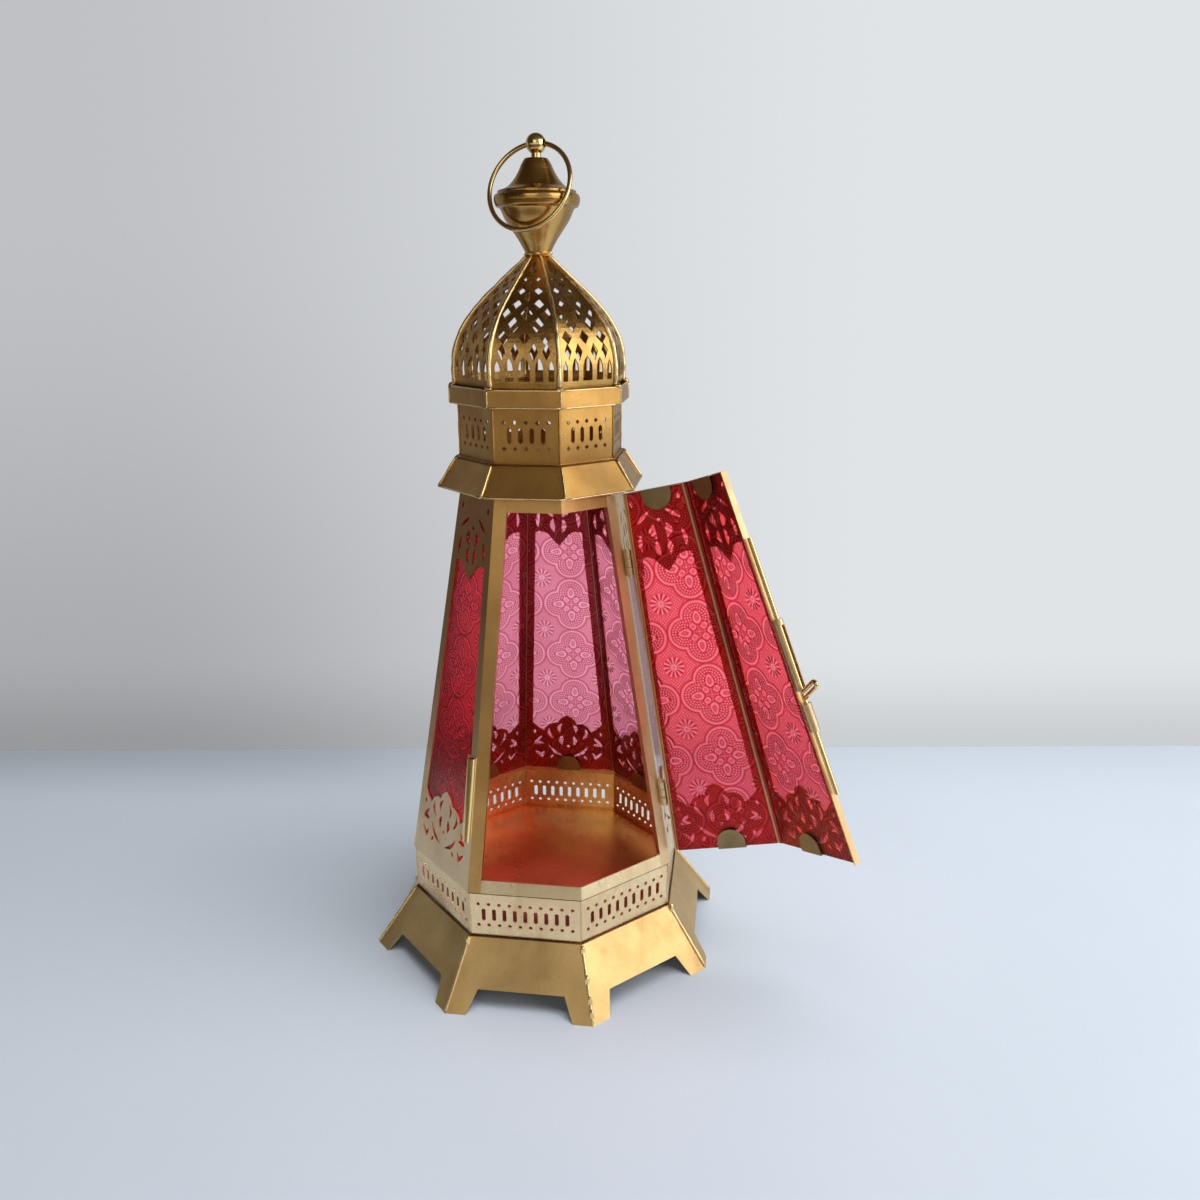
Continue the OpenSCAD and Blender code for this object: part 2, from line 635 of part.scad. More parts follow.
// The rolled rim of each shell: an arc from the shelf to the joint between the two
rim_round_shares = [[0.80, 1], [0.93, 0.93], [0.985, 0.80], [1, 0.60], [0.975, 0.35], [0.93, 0]];
function rim_curve(hand) = let (c = [for (e = rim_round_shares)
        [rim_r - (1 - e[0]) * rim_h / 2, rim_z + hand * (seam / 2 + e[1] * (rim_h - seam) / 2)]])
    hand < 0 ? c : backwards(c);
module finial_cup() color(gilt) spun_shell(concat([[rod_r + rod_gap, cup_z]],
    [for (e = cup_side_shares) cup_point(e)], rim_curve(-1),
    [[rod_r + rod_gap, rim_z - seam / 2]]), spun_wall);

// Finial cone: a spun shell, open downwards, drawn in to a rounded top
cone_side_shares = [[0.80, 0.215], [0.54, 0.32], [0.31, 0.56], [0.12, 0.82], [0.02, 0.96]];
function cone_point(share) = [cone_top_r + share[0] * (rim_r - cone_top_r), rim_z + share[1] * cone_h];
module finial_cone() color(gilt) spun_shell(concat(rim_curve(1),
    [for (e = cone_side_shares) cone_point(e)], [[cone_top_r - sheet / 2, cone_top_z],
        [rod_r + rod_gap, cone_top_z], [rod_r + rod_gap, rim_z + seam / 2]]), -spun_wall);

// Stud: the ball with its cross hole, its neck and the rod that ties the finial down
nut_drop = 3.2;
nut_z = dome_top_z - nut_drop - nut_h;
rod_foot_z = nut_z - rod_r;
module finial_stud() color(gilt) difference() {
    union() {
        translate([0, 0, ball_z]) sphere(r = ball_r, $fn = 64);
        translate([0, 0, cone_top_z + seam / 2]) cylinder(r = neck_r, h = ball_z - cone_top_z - seam / 2);
        translate([0, 0, rod_foot_z]) cylinder(r = rod_r, h = ball_z - rod_foot_z);
    }
    translate([0, 0, ball_z]) rotate([0, 0, ring_turn]) rotate([0, 90, 0])
        cylinder(r = ring_hole_r, h = 4 * ball_r, center = true);
}

// Nut under the dome's tip
module finial_nut() color(gilt) translate([0, 0, nut_z]) difference() {
    cylinder(r = nut_w / 2 / cos(30), h = nut_h, $fn = 6);
    translate([0, 0, -over]) cylinder(r = rod_r + bolt_gap, h = nut_h + 2 * over);
}

// The three knuckles of a hinge share its height
knuckle_h = (hinge_h - 2 * knuckle_gap) / 3;
module for_each_hinge() for (at = [low_hinge_at, high_hinge_at]) translate([0, 0, at]) children();

// Fixed leaf: on the side after the hinge corner, with the two outer knuckles
module hinge_leaves() color(gilt) at_corner(1) for_each_hinge() difference() {
    union() {
        rotate([0, 0, half_bend]) translate([-hinge_out * tan(half_bend), -seam - leaf_t, 0])
            cube([leaf_w, leaf_t, hinge_h]);
        for (low = [0, hinge_h - knuckle_h]) translate([0, -hinge_off, low])
            cylinder(r = knuckle_r, h = knuckle_h);
    }
    translate([0, -hinge_off, -over]) cylinder(r = pin_r + pin_gap, h = hinge_h + 2 * over);
    translate([0, -hinge_off, knuckle_h])
        cylinder(r = knuckle_r + barrel_gap, h = hinge_h - 2 * knuckle_h);
}

module hinge_pins() color(gilt) at_corner(1) for_each_hinge() translate([0, -hinge_off, 0]) {
    translate([0, 0, -seam]) cylinder(r = pin_r, h = hinge_h + 2 * seam);
    for (low = [-seam - pin_head_h, hinge_h + seam]) translate([0, 0, low])
        cylinder(r = pin_head_r, h = pin_head_h);
}

// Door leaf: on the door's outer face, with the middle knuckle
module door_hinge_leaves() color(gilt) opened() at_corner(1) for_each_hinge() difference() {
    union() {
        rotate([0, 0, -half_bend])
            translate([hinge_out * tan(half_bend) - leaf_w, -door_outer - seam - leaf_t, 0])
                cube([leaf_w, leaf_t, hinge_h]);
        translate([0, -hinge_off, knuckle_h + knuckle_gap]) cylinder(r = knuckle_r, h = knuckle_h);
    }
    translate([0, -hinge_off, -over]) cylinder(r = pin_r + pin_gap, h = hinge_h + 2 * over);
    for (low = [-over, hinge_h - knuckle_h - knuckle_gap]) translate([0, -hinge_off, low])
        cylinder(r = knuckle_r + barrel_gap, h = knuckle_h + knuckle_gap + over);
}

// A door panel, drawn closed: a plate with one edge folded back towards the wall.
// hand is +1 where the folded edge is at +X, and gap is its distance from the wall's corner.
module door_panel(number, hand, gap) {
    edge = [for (s = [door_foot, door_head]) hand * (half_at(s) - gap)];
    fold = [for (s = [door_foot, door_head]) -hand * (half_at(s) + 2 * door_outer)];
    opened() difference() {
        union() {
            intersection() {
                wall_strip(number, [[edge[0], door_foot], [edge[1], door_head], [fold[1], door_head],
                    [fold[0], door_foot]], door_inner, sheet);
                rotate([0, 0, side_turn * number]) side_slice(seam / 2, 0, panel_top_z);
            }
            wall_strip(number, [[edge[0], door_foot], [edge[1], door_head],
                [edge[1] - hand * sheet, door_head], [edge[0] - hand * sheet, door_foot]],
                door_stand, door_outer - door_stand);
        }
        on_wall(number) translate([0, 0, door_inner - over]) linear_extrude(sheet + 2 * over) {
            window(border_w);
            ornament();
        }
    }
}
module door_hinge_panel() color(gilt) door_panel(1, 1, door_edge_gap);
module door_free_panel() color(gilt) door_panel(0, -1, free_edge_gap);

// The strip that covers the fold from inside, one flange on each panel
fold_strip_t = 0.6;
module door_fold_strip() color(gilt) opened() for (row = [[0, 1], [1, -1]]) intersection() {
    wall_strip(row[0], [for (e = [[door_foot, over], [door_head, over],
        [door_head, -fold_strip_w], [door_foot, -fold_strip_w]])
        [row[1] * (half_at(e[0]) + door_inner * tan(half_bend) + e[1]), e[0]]],
        door_inner - seam - fold_strip_t, fold_strip_t);
    rotate([0, 0, side_turn * row[0]]) side_slice(seam / 2, 0, panel_top_z);
}

// A door pane lies in its panel's tray
door_pane_foot = door_foot + tab_t + 2 * tab_gap;
door_pane_head = door_head - tab_t - 2 * tab_gap;
module door_pane(number, hand, gap) color(ruby) opened() wall_strip(number,
    [for (e = [[door_pane_foot, 1], [door_pane_head, 1], [door_pane_head, -1], [door_pane_foot, -1]])
        [hand * e[1] * (half_at(e[0]) - (e[1] > 0 ? gap + sheet + door_pane_inset : fold_strip_w)),
            e[0]]],
    door_inner - pane_gap - pane_t, pane_t);
module door_pane_hinge_side() door_pane(1, 1, door_edge_gap);
module door_pane_free_side() door_pane(0, -1, free_edge_gap);

// Tabs at the foot and the head of both door panes, a little off the middle as bent by hand
tab_shift = 4;
module door_pane_tabs() color(gilt) opened() for (row = [[1, -1], [0, 1]]) on_wall(row[0]) {
    translate([row[1] * tab_shift, door_pane_foot, door_inner]) pane_tab();
    translate([row[1] * tab_shift / 2, door_pane_head, door_inner]) rotate([0, 0, 180]) pane_tab();
}

// The bolt's line: beside the free edge of the closed door, along the corner before side 0
module on_bolt_line() at_corner(-1) rotate([0, 0, half_bend]) translate([bolt_x, -bolt_out, 0]) children();

module bolt_lower_guide() color(gilt) opened() on_bolt_line() translate([0, 0, low_guide_at])
    difference() {
        cylinder(r = guide_r, h = low_guide_h);
        translate([0, 0, -over]) cylinder(r = wire_r + bolt_gap, h = low_guide_h + 2 * over);
    }

// The upper guide is slit along the pull's way, and whole only at its top
pull_top = pull_at + pull_pitch + wire_r / cos(pull_rise) + guide_r * tan(pull_rise);
slit_len = pull_top + bolt_travel + pull_slot_gap - upper_guide_at;
upper_guide_h = slit_len + upper_guide_ring;
module bolt_upper_guide() color(gilt) opened() on_bolt_line() translate([0, 0, upper_guide_at])
    difference() {
        cylinder(r = guide_r, h = upper_guide_h);
        translate([0, 0, -over]) cylinder(r = wire_r + bolt_gap, h = upper_guide_h + 2 * over);
        translate([-2 * guide_r, -wire_r - pull_slot_gap, -over])
            cube([2 * guide_r, 2 * (wire_r + pull_slot_gap), slit_len + over]);
    }

// The bolt: one wire with a hairpin pull, resting on the lower guide. The pull's legs rise
// outwards side by side, so that the lower one is longer by their step.
pull_gap = pull_pitch * cos(pull_rise);
pull_shift = pull_pitch * sin(pull_rise);
module drop_bolt() color(gilt) opened() on_bolt_line() {
    translate([0, 0, bolt_tip_at]) cylinder(r = wire_r, h = bolt_top_at - bolt_tip_at);
    for (row = [[0, pull_len + pull_shift], [pull_pitch, pull_len]])
        translate([0, 0, pull_at + row[0]]) rotate([0, pull_rise - 90, 0])
            cylinder(r = pull_r, h = row[1]);
    translate([0, 0, pull_at]) rotate([0, pull_rise, 0])
        translate([-pull_len - pull_shift, 0, pull_gap / 2]) rotate([90, 0, 0]) rotate([0, 0, 90])
            rotate_extrude(angle = 180) translate([pull_gap / 2, 0]) circle(pull_r, $fn = 32);
}

// Keeper: a sleeve at the lock corner with a tail on the side before it
module bolt_keeper() color(gilt) difference() {
    union() {
        on_bolt_line() translate([0, 0, keeper_at]) cylinder(r = keeper_r, h = keeper_h);
        at_corner(-1) rotate([0, 0, -half_bend]) translate([-keeper_tab_w, -seam - sheet, keeper_at])
            cube([keeper_tab_w, sheet, keeper_h]);
    }
    on_bolt_line() translate([0, 0, keeper_at - over])
        cylinder(r = wire_r + keeper_gap, h = keeper_h + 2 * over);
}

// The ring hangs in the ball's cross hole and leans on the finial's rim
module hanging_ring() color(gilt) translate([0, 0, ball_z]) rotate([0, 0, ring_turn])
    rotate([-ring_lean, 0, 0]) translate([0, 0, ring_set - ring_r]) rotate([90, 0, 0])
        rotate_extrude($fn = 96) translate([ring_r, 0]) circle(wire_r, $fn = 32);

foot_skirt();
lower_gallery();
candle_floor();
door_sill();
door_lintel();
lock_post();
hinge_post();
side_panel_right();
side_panel_back_right();
side_panel_back();
side_panel_back_left();
side_panel_left();
side_panel_front_left();
pane_right();
pane_back_right();
pane_back();
pane_back_left();
pane_left();
pane_front_left();
pane_tabs();
eave();
drum();
collar();
dome_gores();
apex_washer();
finial_cup();
finial_cone();
finial_stud();
finial_nut();
hinge_leaves();
hinge_pins();
bolt_keeper();
door_hinge_panel();
door_free_panel();
door_fold_strip();
door_pane_hinge_side();
door_pane_free_side();
door_pane_tabs();
door_hinge_leaves();
bolt_upper_guide();
bolt_lower_guide();
drop_bolt();
hanging_ring();
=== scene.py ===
"""Looks of a ramadan fanous lantern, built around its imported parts.

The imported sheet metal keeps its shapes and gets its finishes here. The red panes, the spun
cup and cone of the finial and the solder are modelled here and ride on the parts' bodies.
All lengths are metres in the parts' own frame: +Z up, -Y towards the viewer.
"""

from __future__ import annotations

import json
import logging
import math
from collections.abc import Sequence
from dataclasses import dataclass, field, replace
from enum import Enum
from typing import Any, ClassVar

import bmesh
import bpy
import numpy as np
from mathutils import Matrix, Vector, noise

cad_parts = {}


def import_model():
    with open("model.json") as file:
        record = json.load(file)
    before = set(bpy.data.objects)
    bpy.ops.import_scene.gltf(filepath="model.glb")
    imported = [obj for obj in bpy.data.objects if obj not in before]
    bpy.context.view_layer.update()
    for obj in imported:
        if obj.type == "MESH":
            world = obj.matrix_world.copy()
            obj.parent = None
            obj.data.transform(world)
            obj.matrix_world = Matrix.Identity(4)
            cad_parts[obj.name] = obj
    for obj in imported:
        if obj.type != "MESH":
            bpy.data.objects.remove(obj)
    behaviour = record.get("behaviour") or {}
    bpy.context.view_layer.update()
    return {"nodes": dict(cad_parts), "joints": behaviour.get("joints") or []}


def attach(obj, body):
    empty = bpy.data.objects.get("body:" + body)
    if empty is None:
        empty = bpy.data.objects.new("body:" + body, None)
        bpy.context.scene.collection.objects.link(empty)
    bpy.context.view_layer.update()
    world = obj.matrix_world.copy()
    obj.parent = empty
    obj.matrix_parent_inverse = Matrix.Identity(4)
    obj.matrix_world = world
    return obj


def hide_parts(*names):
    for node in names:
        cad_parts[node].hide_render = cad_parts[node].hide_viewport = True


log = logging.getLogger("fanous")

MM = 0.001
Colour = tuple[float, float, float]
Curve = list[Vector]
Outline = list[tuple[float, float]]
Lines = tuple[tuple[float, float, float], ...]

BLACK: Colour = (0.0, 0.0, 0.0)
# Painted shade for faces that look down or inwards under the candle floor.
UNDER_SHADE_COLOUR: Colour = (0.01, 0.008, 0.006)
# Painted shade for the candle floor's part behind the front gallery.
FLOOR_SHADE_COLOUR: Colour = (0.03, 0.018, 0.01)
CANDLE_FLOOR_Z = 36.5 * MM
DOOR_OPEN = 126.5  # degrees, as photographed


class Body(Enum):
    """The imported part's bodies that pieces ride on."""

    LANTERN = "lantern"
    DOOR = "door"


class Slot(Enum):
    """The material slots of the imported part."""

    SHEET = "gold_sheet"
    BRIGHT = "bright_brass"
    GLASS = "pane_glass"


def rgb(red: int, green: int, blue: int) -> Colour:
    """Turns an 8-bit screen colour into a linear one.

    Args:
        red: Its red, 0 to 255.
        green: Its green.
        blue: Its blue.

    Returns:
        The linear colour.
    """

    def linear(byte: int) -> float:
        """Returns the linear share of one channel."""
        share = byte / 255
        return share / 12.92 if share <= 0.04045 else ((share + 0.055) / 1.055) ** 2.4

    return linear(red), linear(green), linear(blue)


# Shader sheets


class Flow:
    """One output socket, with the operators that shader maths needs."""

    def __init__(self, sheet: "ShaderSheet", socket: bpy.types.NodeSocket) -> None:
        """Wraps a socket of a sheet.

        Args:
            sheet: The node sheet that the socket is on.
            socket: The output socket.
        """
        self.sheet = sheet
        self.socket = socket

    def _math(self, operation: str, *values: "Flow | float") -> "Flow":
        """Adds a Math node for this flow and other values.

        Args:
            operation: The Math node's operation.
            *values: All of the node's inputs, in order.

        Returns:
            The node's value.
        """
        inputs = {index: value for index, value in enumerate(values)}
        return self.sheet.node("ShaderNodeMath", {"operation": operation}, inputs)

    def __add__(self, other: "Flow | float") -> "Flow":
        """Adds."""
        return self._math("ADD", self, other)

    def __radd__(self, other: float) -> "Flow":
        """Adds, from the right."""
        return self._math("ADD", other, self)

    def __sub__(self, other: "Flow | float") -> "Flow":
        """Subtracts."""
        return self._math("SUBTRACT", self, other)

    def __rsub__(self, other: float) -> "Flow":
        """Subtracts this flow from a number."""
        return self._math("SUBTRACT", other, self)

    def __mul__(self, other: "Flow | float") -> "Flow":
        """Multiplies."""
        return self._math("MULTIPLY", self, other)

    def power(self, exponent: float) -> "Flow":
        """Raises to a power."""
        return self._math("POWER", self, exponent)

    def absolute(self) -> "Flow":
        """Drops the sign."""
        return self._math("ABSOLUTE", self)

    def lowest(self, other: "Flow | float") -> "Flow":
        """Takes the smaller of two."""
        return self._math("MINIMUM", self, other)

    def highest(self, other: "Flow | float") -> "Flow":
        """Takes the larger of two."""
        return self._math("MAXIMUM", self, other)

    def ramp(self, low: float, high: float) -> "Flow":
        """Maps low to 0 and high to 1, held beyond them.

        Args:
            low: The value that becomes 0.
            high: The value that becomes 1; it may be the smaller one.

        Returns:
            The mapped value.
        """
        return self.sheet.node(
            "ShaderNodeMapRange",
            {"interpolation_type": "SMOOTHSTEP", "clamp": True},
            {"Value": self, "From Min": low, "From Max": high},
            "Result",
        )


class ShaderSheet:
    """A material or world whose nodes are made by one method."""

    def __init__(self, owner: bpy.types.Material | bpy.types.World) -> None:
        """Clears the owner's nodes.

        Args:
            owner: The material or world.
        """
        owner.use_nodes = True
        self.tree = owner.node_tree
        self.tree.nodes.clear()

    def node(
        self,
        kind: str,
        settings: dict[str, Any] | None = None,
        inputs: dict[str | int, Any] | None = None,
        output: str | int = 0,
    ) -> Flow:
        """Adds a node.

        Args:
            kind: The node's type name.
            settings: Attributes of the node, set first. "stops" fills a colour ramp.
            inputs: Values or flows by socket name or number.
            output: The output socket that is wanted.

        Returns:
            The wanted output.
        """
        made = self.tree.nodes.new(kind)
        for name, value in (settings or {}).items():
            if name == "stops":
                elements = made.color_ramp.elements
                while len(elements) < len(value):
                    elements.new(0.5)
                for element, (place, colour) in zip(elements, value):
                    element.position = place
                    element.color = (*colour, 1.0)
            else:
                setattr(made, name, value)
        for name, value in (inputs or {}).items():
            socket = made.inputs[name]
            if isinstance(value, Flow):
                self.tree.links.new(value.socket, socket)
            elif isinstance(value, tuple) and len(value) == 3 and socket.type == "RGBA":
                socket.default_value = (*value, 1.0)
            else:
                socket.default_value = value
        return Flow(self, made.outputs[output]) if made.outputs else Flow(self, None)

    def mix(self, share: Flow | float, first: Any, second: Any) -> Flow:
        """Blends two colours.

        Args:
            share: How much of the second colour is taken.
            first: A colour or a flow.
            second: A colour or a flow.

        Returns:
            The blended colour.
        """
        settings = {"data_type": "RGBA", "blend_type": "MIX", "clamp_factor": True}
        return self.node("ShaderNodeMix", settings, {0: share, 6: first, 7: second}, 2)

    def place(self) -> Flow:
        """Returns the object coordinates, in metres."""
        return self.node("ShaderNodeTexCoord", output="Object")

    def parts(self, vector: Flow) -> tuple[Flow, Flow, Flow]:
        """Splits a vector.

        Args:
            vector: The vector.

        Returns:
            Its three numbers.
        """
        split = self.node("ShaderNodeSeparateXYZ", {}, {0: vector})
        outs = split.socket.node.outputs
        return Flow(self, outs[0]), Flow(self, outs[1]), Flow(self, outs[2])

    def stretch(self, vector: Flow, scale: tuple[float, float, float]) -> Flow:
        """Scales a vector by three numbers."""
        settings = {"operation": "MULTIPLY"}
        return self.node("ShaderNodeVectorMath", settings, {0: vector, 1: scale})

    def cloud(
        self, vector: Flow, per_metre: float, detail: float = 3.0, rough: float = 0.55
    ) -> Flow:
        """Returns soft noise.

        Args:
            vector: Where the noise is read.
            per_metre: How many blotches a metre holds.
            detail: Octaves of finer noise.
            rough: Strength of the finer octaves.

        Returns:
            A value around 0.5.
        """
        inputs = {"Vector": vector, "Scale": per_metre, "Detail": detail, "Roughness": rough}
        return self.node("ShaderNodeTexNoise", {}, inputs, "Fac")

    def bump(self, height: Flow, depth: float, under: Flow | None = None) -> Flow:
        """Turns a height into a bent normal.

        Args:
            height: The height, 0 to 1.
            depth: What a height of 1 means, in metres.
            under: A bent normal to add to.

        Returns:
            The bent normal.
        """
        inputs: dict[str | int, Any] = {"Height": height, "Distance": depth, "Strength": 1.0}
        if under is not None:
            inputs["Normal"] = under
        return self.node("ShaderNodeBump", {}, inputs, "Normal")

    def finish(self, shader: Flow) -> None:
        """Sends a shader to the output."""
        out = "ShaderNodeOutputWorld" if self._is_world() else "ShaderNodeOutputMaterial"
        self.node(out, {}, {"Surface": shader})

    def _is_world(self) -> bool:
        """Tells whether this sheet shades the world."""
        return any(world.node_tree == self.tree for world in bpy.data.worlds)


# Finishes


@dataclass(frozen=True)
class GoldFinish:
    """A lacquered or bare gold-coloured metal.

    Attributes:
        name: The material's name.
        light: Colour of the clear places.
        dark: Colour of the toned places.
        rough: Roughness of the clear places.
        haze: Roughness that the toned places add.
        dent: Depth of the slow waves in the sheet, in metres.
        grain: Depth of the fine grain, in metres.
        brush: Depth of lines that run round the axis, in metres.
        stain: How far the toned places reach the dark colour.
        coat: Weight of the clear lacquer.
        under_shade: How far faces that look down or inwards, under the candle floor, are
            blackened, a painted shade.
        shade: How far the candle floor's part behind the front gallery is darkened, a painted
            shade.
        head_shade: How far the sheet takes its dark colour towards the walls' head, a painted
            shade.
    """

    name: str
    light: Colour
    dark: Colour
    rough: float
    haze: float = 0.12
    dent: float = 0.0006
    grain: float = 0.00004
    brush: float = 0.0
    stain: float = 0.55
    coat: float = 0.25
    under_shade: float = 0.0
    shade: float = 0.0
    head_shade: float = 0.0

    # How many of each a metre holds.
    BLOTCHES: ClassVar[float] = 42
    STREAKS: ClassVar[float] = 90
    SPECKS: ClassVar[float] = 900
    WAVES: ClassVar[float] = 16
    GRIT: ClassVar[float] = 1600
    RINGS: ClassVar[float] = 2600

    def make(self) -> bpy.types.Material:
        """Returns the material."""
        material = bpy.data.materials.new(self.name)
        sheet = ShaderSheet(material)
        place = sheet.place()
        tone = sheet.cloud(place, self.BLOTCHES, 5.0, 0.65).ramp(0.36, 0.68)
        specks = sheet.cloud(place, self.SPECKS, 2.0).ramp(0.66, 0.74)
        drift = sheet.cloud(sheet.stretch(place, (1.0, 1.0, 0.25)), self.STREAKS, 3.0)
        stain = (tone * 0.55 + drift.ramp(0.45, 0.75) * 0.45).lowest(1.0)
        colour = sheet.mix(stain * self.stain, self.light, self.dark)
        colour = sheet.mix(specks * 0.35, colour, tuple(c * 0.35 for c in self.dark))
        colour = self._painted_shade(sheet, place, colour)
        rough = self.rough + stain * self.haze + specks * 0.2
        normal = sheet.bump(sheet.cloud(place, self.WAVES, 1.0), self.dent * 10)
        normal = sheet.bump(sheet.cloud(place, self.GRIT, 3.0, 0.7), self.grain * 3, normal)
        if self.brush > 0:
            level = sheet.stretch(place, (0.0, 0.0, 1.0))
            normal = sheet.bump(sheet.cloud(level, self.RINGS, 2.0, 0.8), self.brush * 3, normal)
        shader = sheet.node(
            "ShaderNodeBsdfPrincipled",
            {},
            {
                "Base Color": colour,
                "Metallic": 1.0,
                "Roughness": rough,
                "Normal": normal,
                "Coat Weight": self.coat,
                "Coat Roughness": 0.22,
            },
        )
        sheet.finish(shader)
        return material

    def _painted_shade(self, sheet: ShaderSheet, place: Flow, colour: Flow) -> Flow:
        """Darkens the colour with painted shade: towards the walls' head, on faces under the
        candle floor, and on the candle floor behind the front gallery.

        Args:
            sheet: The material's sheet.
            place: The object coordinates.
            colour: The colour so far.

        Returns:
            The darkened colour.
        """
        x, y, z = sheet.parts(place)
        if self.head_shade > 0:
            colour = sheet.mix(z.ramp(80 * MM, 250 * MM) * self.head_shade, colour, self.dark)
        if self.under_shade > 0:
            below = z.ramp(CANDLE_FLOOR_Z - 0.3 * MM, CANDLE_FLOOR_Z - 0.6 * MM)
            colour = sheet.mix(self._hidden(sheet, place) * below * self.under_shade, colour, UNDER_SHADE_COLOUR)
        if self.shade > 0:
            front = (x.absolute() * 0.4 - y).ramp(44 * MM, 66 * MM)
            colour = sheet.mix(front * self.shade, colour, FLOOR_SHADE_COLOUR)
        return colour

    @staticmethod
    def _hidden(sheet: ShaderSheet, place: Flow) -> Flow:
        """Tells which faces look down or towards the axis.

        Args:
            sheet: The material's sheet.
            place: The object coordinates.

        Returns:
            1 on such faces, 0 elsewhere.
        """
        facing = sheet.node("ShaderNodeNewGeometry", output="True Normal")
        inward = sheet.node(
            "ShaderNodeVectorMath",
            {"operation": "DOT_PRODUCT"},
            {0: facing, 1: sheet.stretch(place, (-1.0, -1.0, 0.0))},
            "Value",
        )
        _, _, lift = sheet.parts(facing)
        return inward.ramp(10 * MM, 30 * MM).highest(lift.ramp(-0.3, -0.6))


@dataclass(frozen=True)
class GlassFinish:
    """Red glass with a pressed pattern, whose relief is stored on the mesh and painted into its
    colour as shade and highlights.

    Attributes:
        name: The material's name.
        deep: Colour in the grooves, a painted shade.
        plain: Colour that light takes in the plain places.
        pale: Colour on the ridges and dots, a painted highlight.
        rough: Roughness of the glass.
        bend: Index of refraction, low as in a thin pane.
    """

    name: str
    deep: Colour
    plain: Colour
    pale: Colour
    rough: float = 0.13
    bend: float = 1.38

    CLOUDS: ClassVar[float] = 40
    SEEDS: ClassVar[float] = 700
    SEED_DEPTH: ClassVar[float] = 0.06 * MM

    def make(self) -> bpy.types.Material:
        """Returns the material."""
        material = bpy.data.materials.new(self.name)
        sheet = ShaderSheet(material)
        place = sheet.place()
        relief = sheet.node("ShaderNodeAttribute", {"attribute_name": "relief"}, {}, "Fac")
        # The colour follows the relief: painted shade in the grooves, painted highlights on the
        # ridges and dots.
        stops = [(0.0, self.deep), (0.5, self.plain), (1.0, self.pale)]
        colour = sheet.node("ShaderNodeValToRGB", {"stops": stops}, {"Fac": relief})
        cloud = sheet.cloud(place, self.CLOUDS, 2.0).ramp(0.35, 0.7)
        colour = sheet.mix(cloud * 0.15, colour, self.deep)
        seeds = sheet.cloud(place, self.SEEDS, 2.0)
        shader = sheet.node(
            "ShaderNodeBsdfPrincipled",
            {},
            {
                "Base Color": colour,
                "Roughness": self.rough,
                "IOR": self.bend,
                "Transmission Weight": 1.0,
                "Normal": sheet.bump(seeds, self.SEED_DEPTH),
            },
        )
        sheet.finish(shader)
        return material


@dataclass(frozen=True)
class Finishes:
    """All materials of the lantern, made once."""

    body: bpy.types.Material
    band: bpy.types.Material
    left: bpy.types.Material
    skirt: bpy.types.Material
    crown: bpy.types.Material
    dome: bpy.types.Material
    post: bpy.types.Material
    door: bpy.types.Material
    inner: bpy.types.Material
    copper: bpy.types.Material
    tab: bpy.types.Material
    joint: bpy.types.Material
    bright: bpy.types.Material
    polished: bpy.types.Material
    solder: bpy.types.Material
    glass: bpy.types.Material
    door_glass: bpy.types.Material

    @classmethod
    def make(cls) -> "Finishes":
        """Makes every finish.

        Returns:
            The finishes.
        """
        body = GoldFinish("champagne_sheet", rgb(240, 210, 164), rgb(214, 172, 118), 0.36)
        kinds = {
            "body": body,
            "band": replace(
                body, name="band_sheet", light=rgb(252, 226, 178), rough=0.24, under_shade=0.95
            ),
            # The front-left panel: the body's sheet with painted shade towards its head.
            "left": replace(
                body, name="shaded_left_sheet", dark=rgb(168, 118, 62), rough=0.3, stain=0.2, head_shade=1.0
            ),
            "skirt": GoldFinish(
                "mustard_sheet", rgb(228, 192, 126), rgb(196, 154, 90), 0.38, under_shade=0.95
            ),
            "crown": GoldFinish("toned_sheet", rgb(204, 158, 86), rgb(160, 112, 54), 0.27),
            "dome": GoldFinish(
                "dome_sheet", rgb(210, 166, 92), rgb(138, 100, 46), 0.19, haze=0.1, stain=0.8
            ),
            "post": GoldFinish("post_sheet", rgb(228, 182, 112), rgb(190, 140, 76), 0.28),
            "door": GoldFinish("door_sheet", rgb(238, 200, 146), rgb(210, 164, 110), 0.38),
            "inner": GoldFinish(
                "candle_floor_sheet", rgb(232, 180, 106), rgb(192, 128, 68), 0.20,
                haze=0.1, dent=0.0003, under_shade=0.95, shade=0.8,
            ),
            "copper": GoldFinish("copper_strip", rgb(186, 72, 54), rgb(122, 36, 26), 0.3),
            "tab": GoldFinish("olive_tab", rgb(170, 148, 104), rgb(122, 100, 64), 0.40),
            # Dark beads that stand for the shadow lines at joints, a painted shade.
            "joint": GoldFinish("joint_shadow_line", rgb(134, 92, 44), rgb(80, 48, 22), 0.45),
            "bright": GoldFinish(
                "spun_brass", rgb(214, 170, 98), rgb(142, 100, 50), 0.19,
                haze=0.1, dent=0.0002, grain=0.000003, brush=0.000012,
            ),
            "polished": GoldFinish(
                "polished_brass", rgb(248, 222, 156), rgb(214, 172, 106), 0.15,
                haze=0.06, dent=0.0, grain=0.0,
            ),
            "solder": GoldFinish(
                "gilded_solder", rgb(254, 228, 168), rgb(226, 184, 112), 0.2,
                haze=0.1, dent=0.0, grain=0.00003,
            ),
            "glass": GlassFinish(
                "ruby_glass", rgb(178, 38, 70), rgb(246, 144, 168), rgb(255, 238, 244)
            ),
            # The door's panes and the front-left pane take a deeper red, a painted shade.
            "door_glass": GlassFinish(
                "ruby_glass_deep", rgb(176, 8, 26), rgb(255, 88, 104), rgb(255, 230, 232)
            ),
        }
        return cls(**{key: kind.make() for key, kind in kinds.items()})


# The lantern


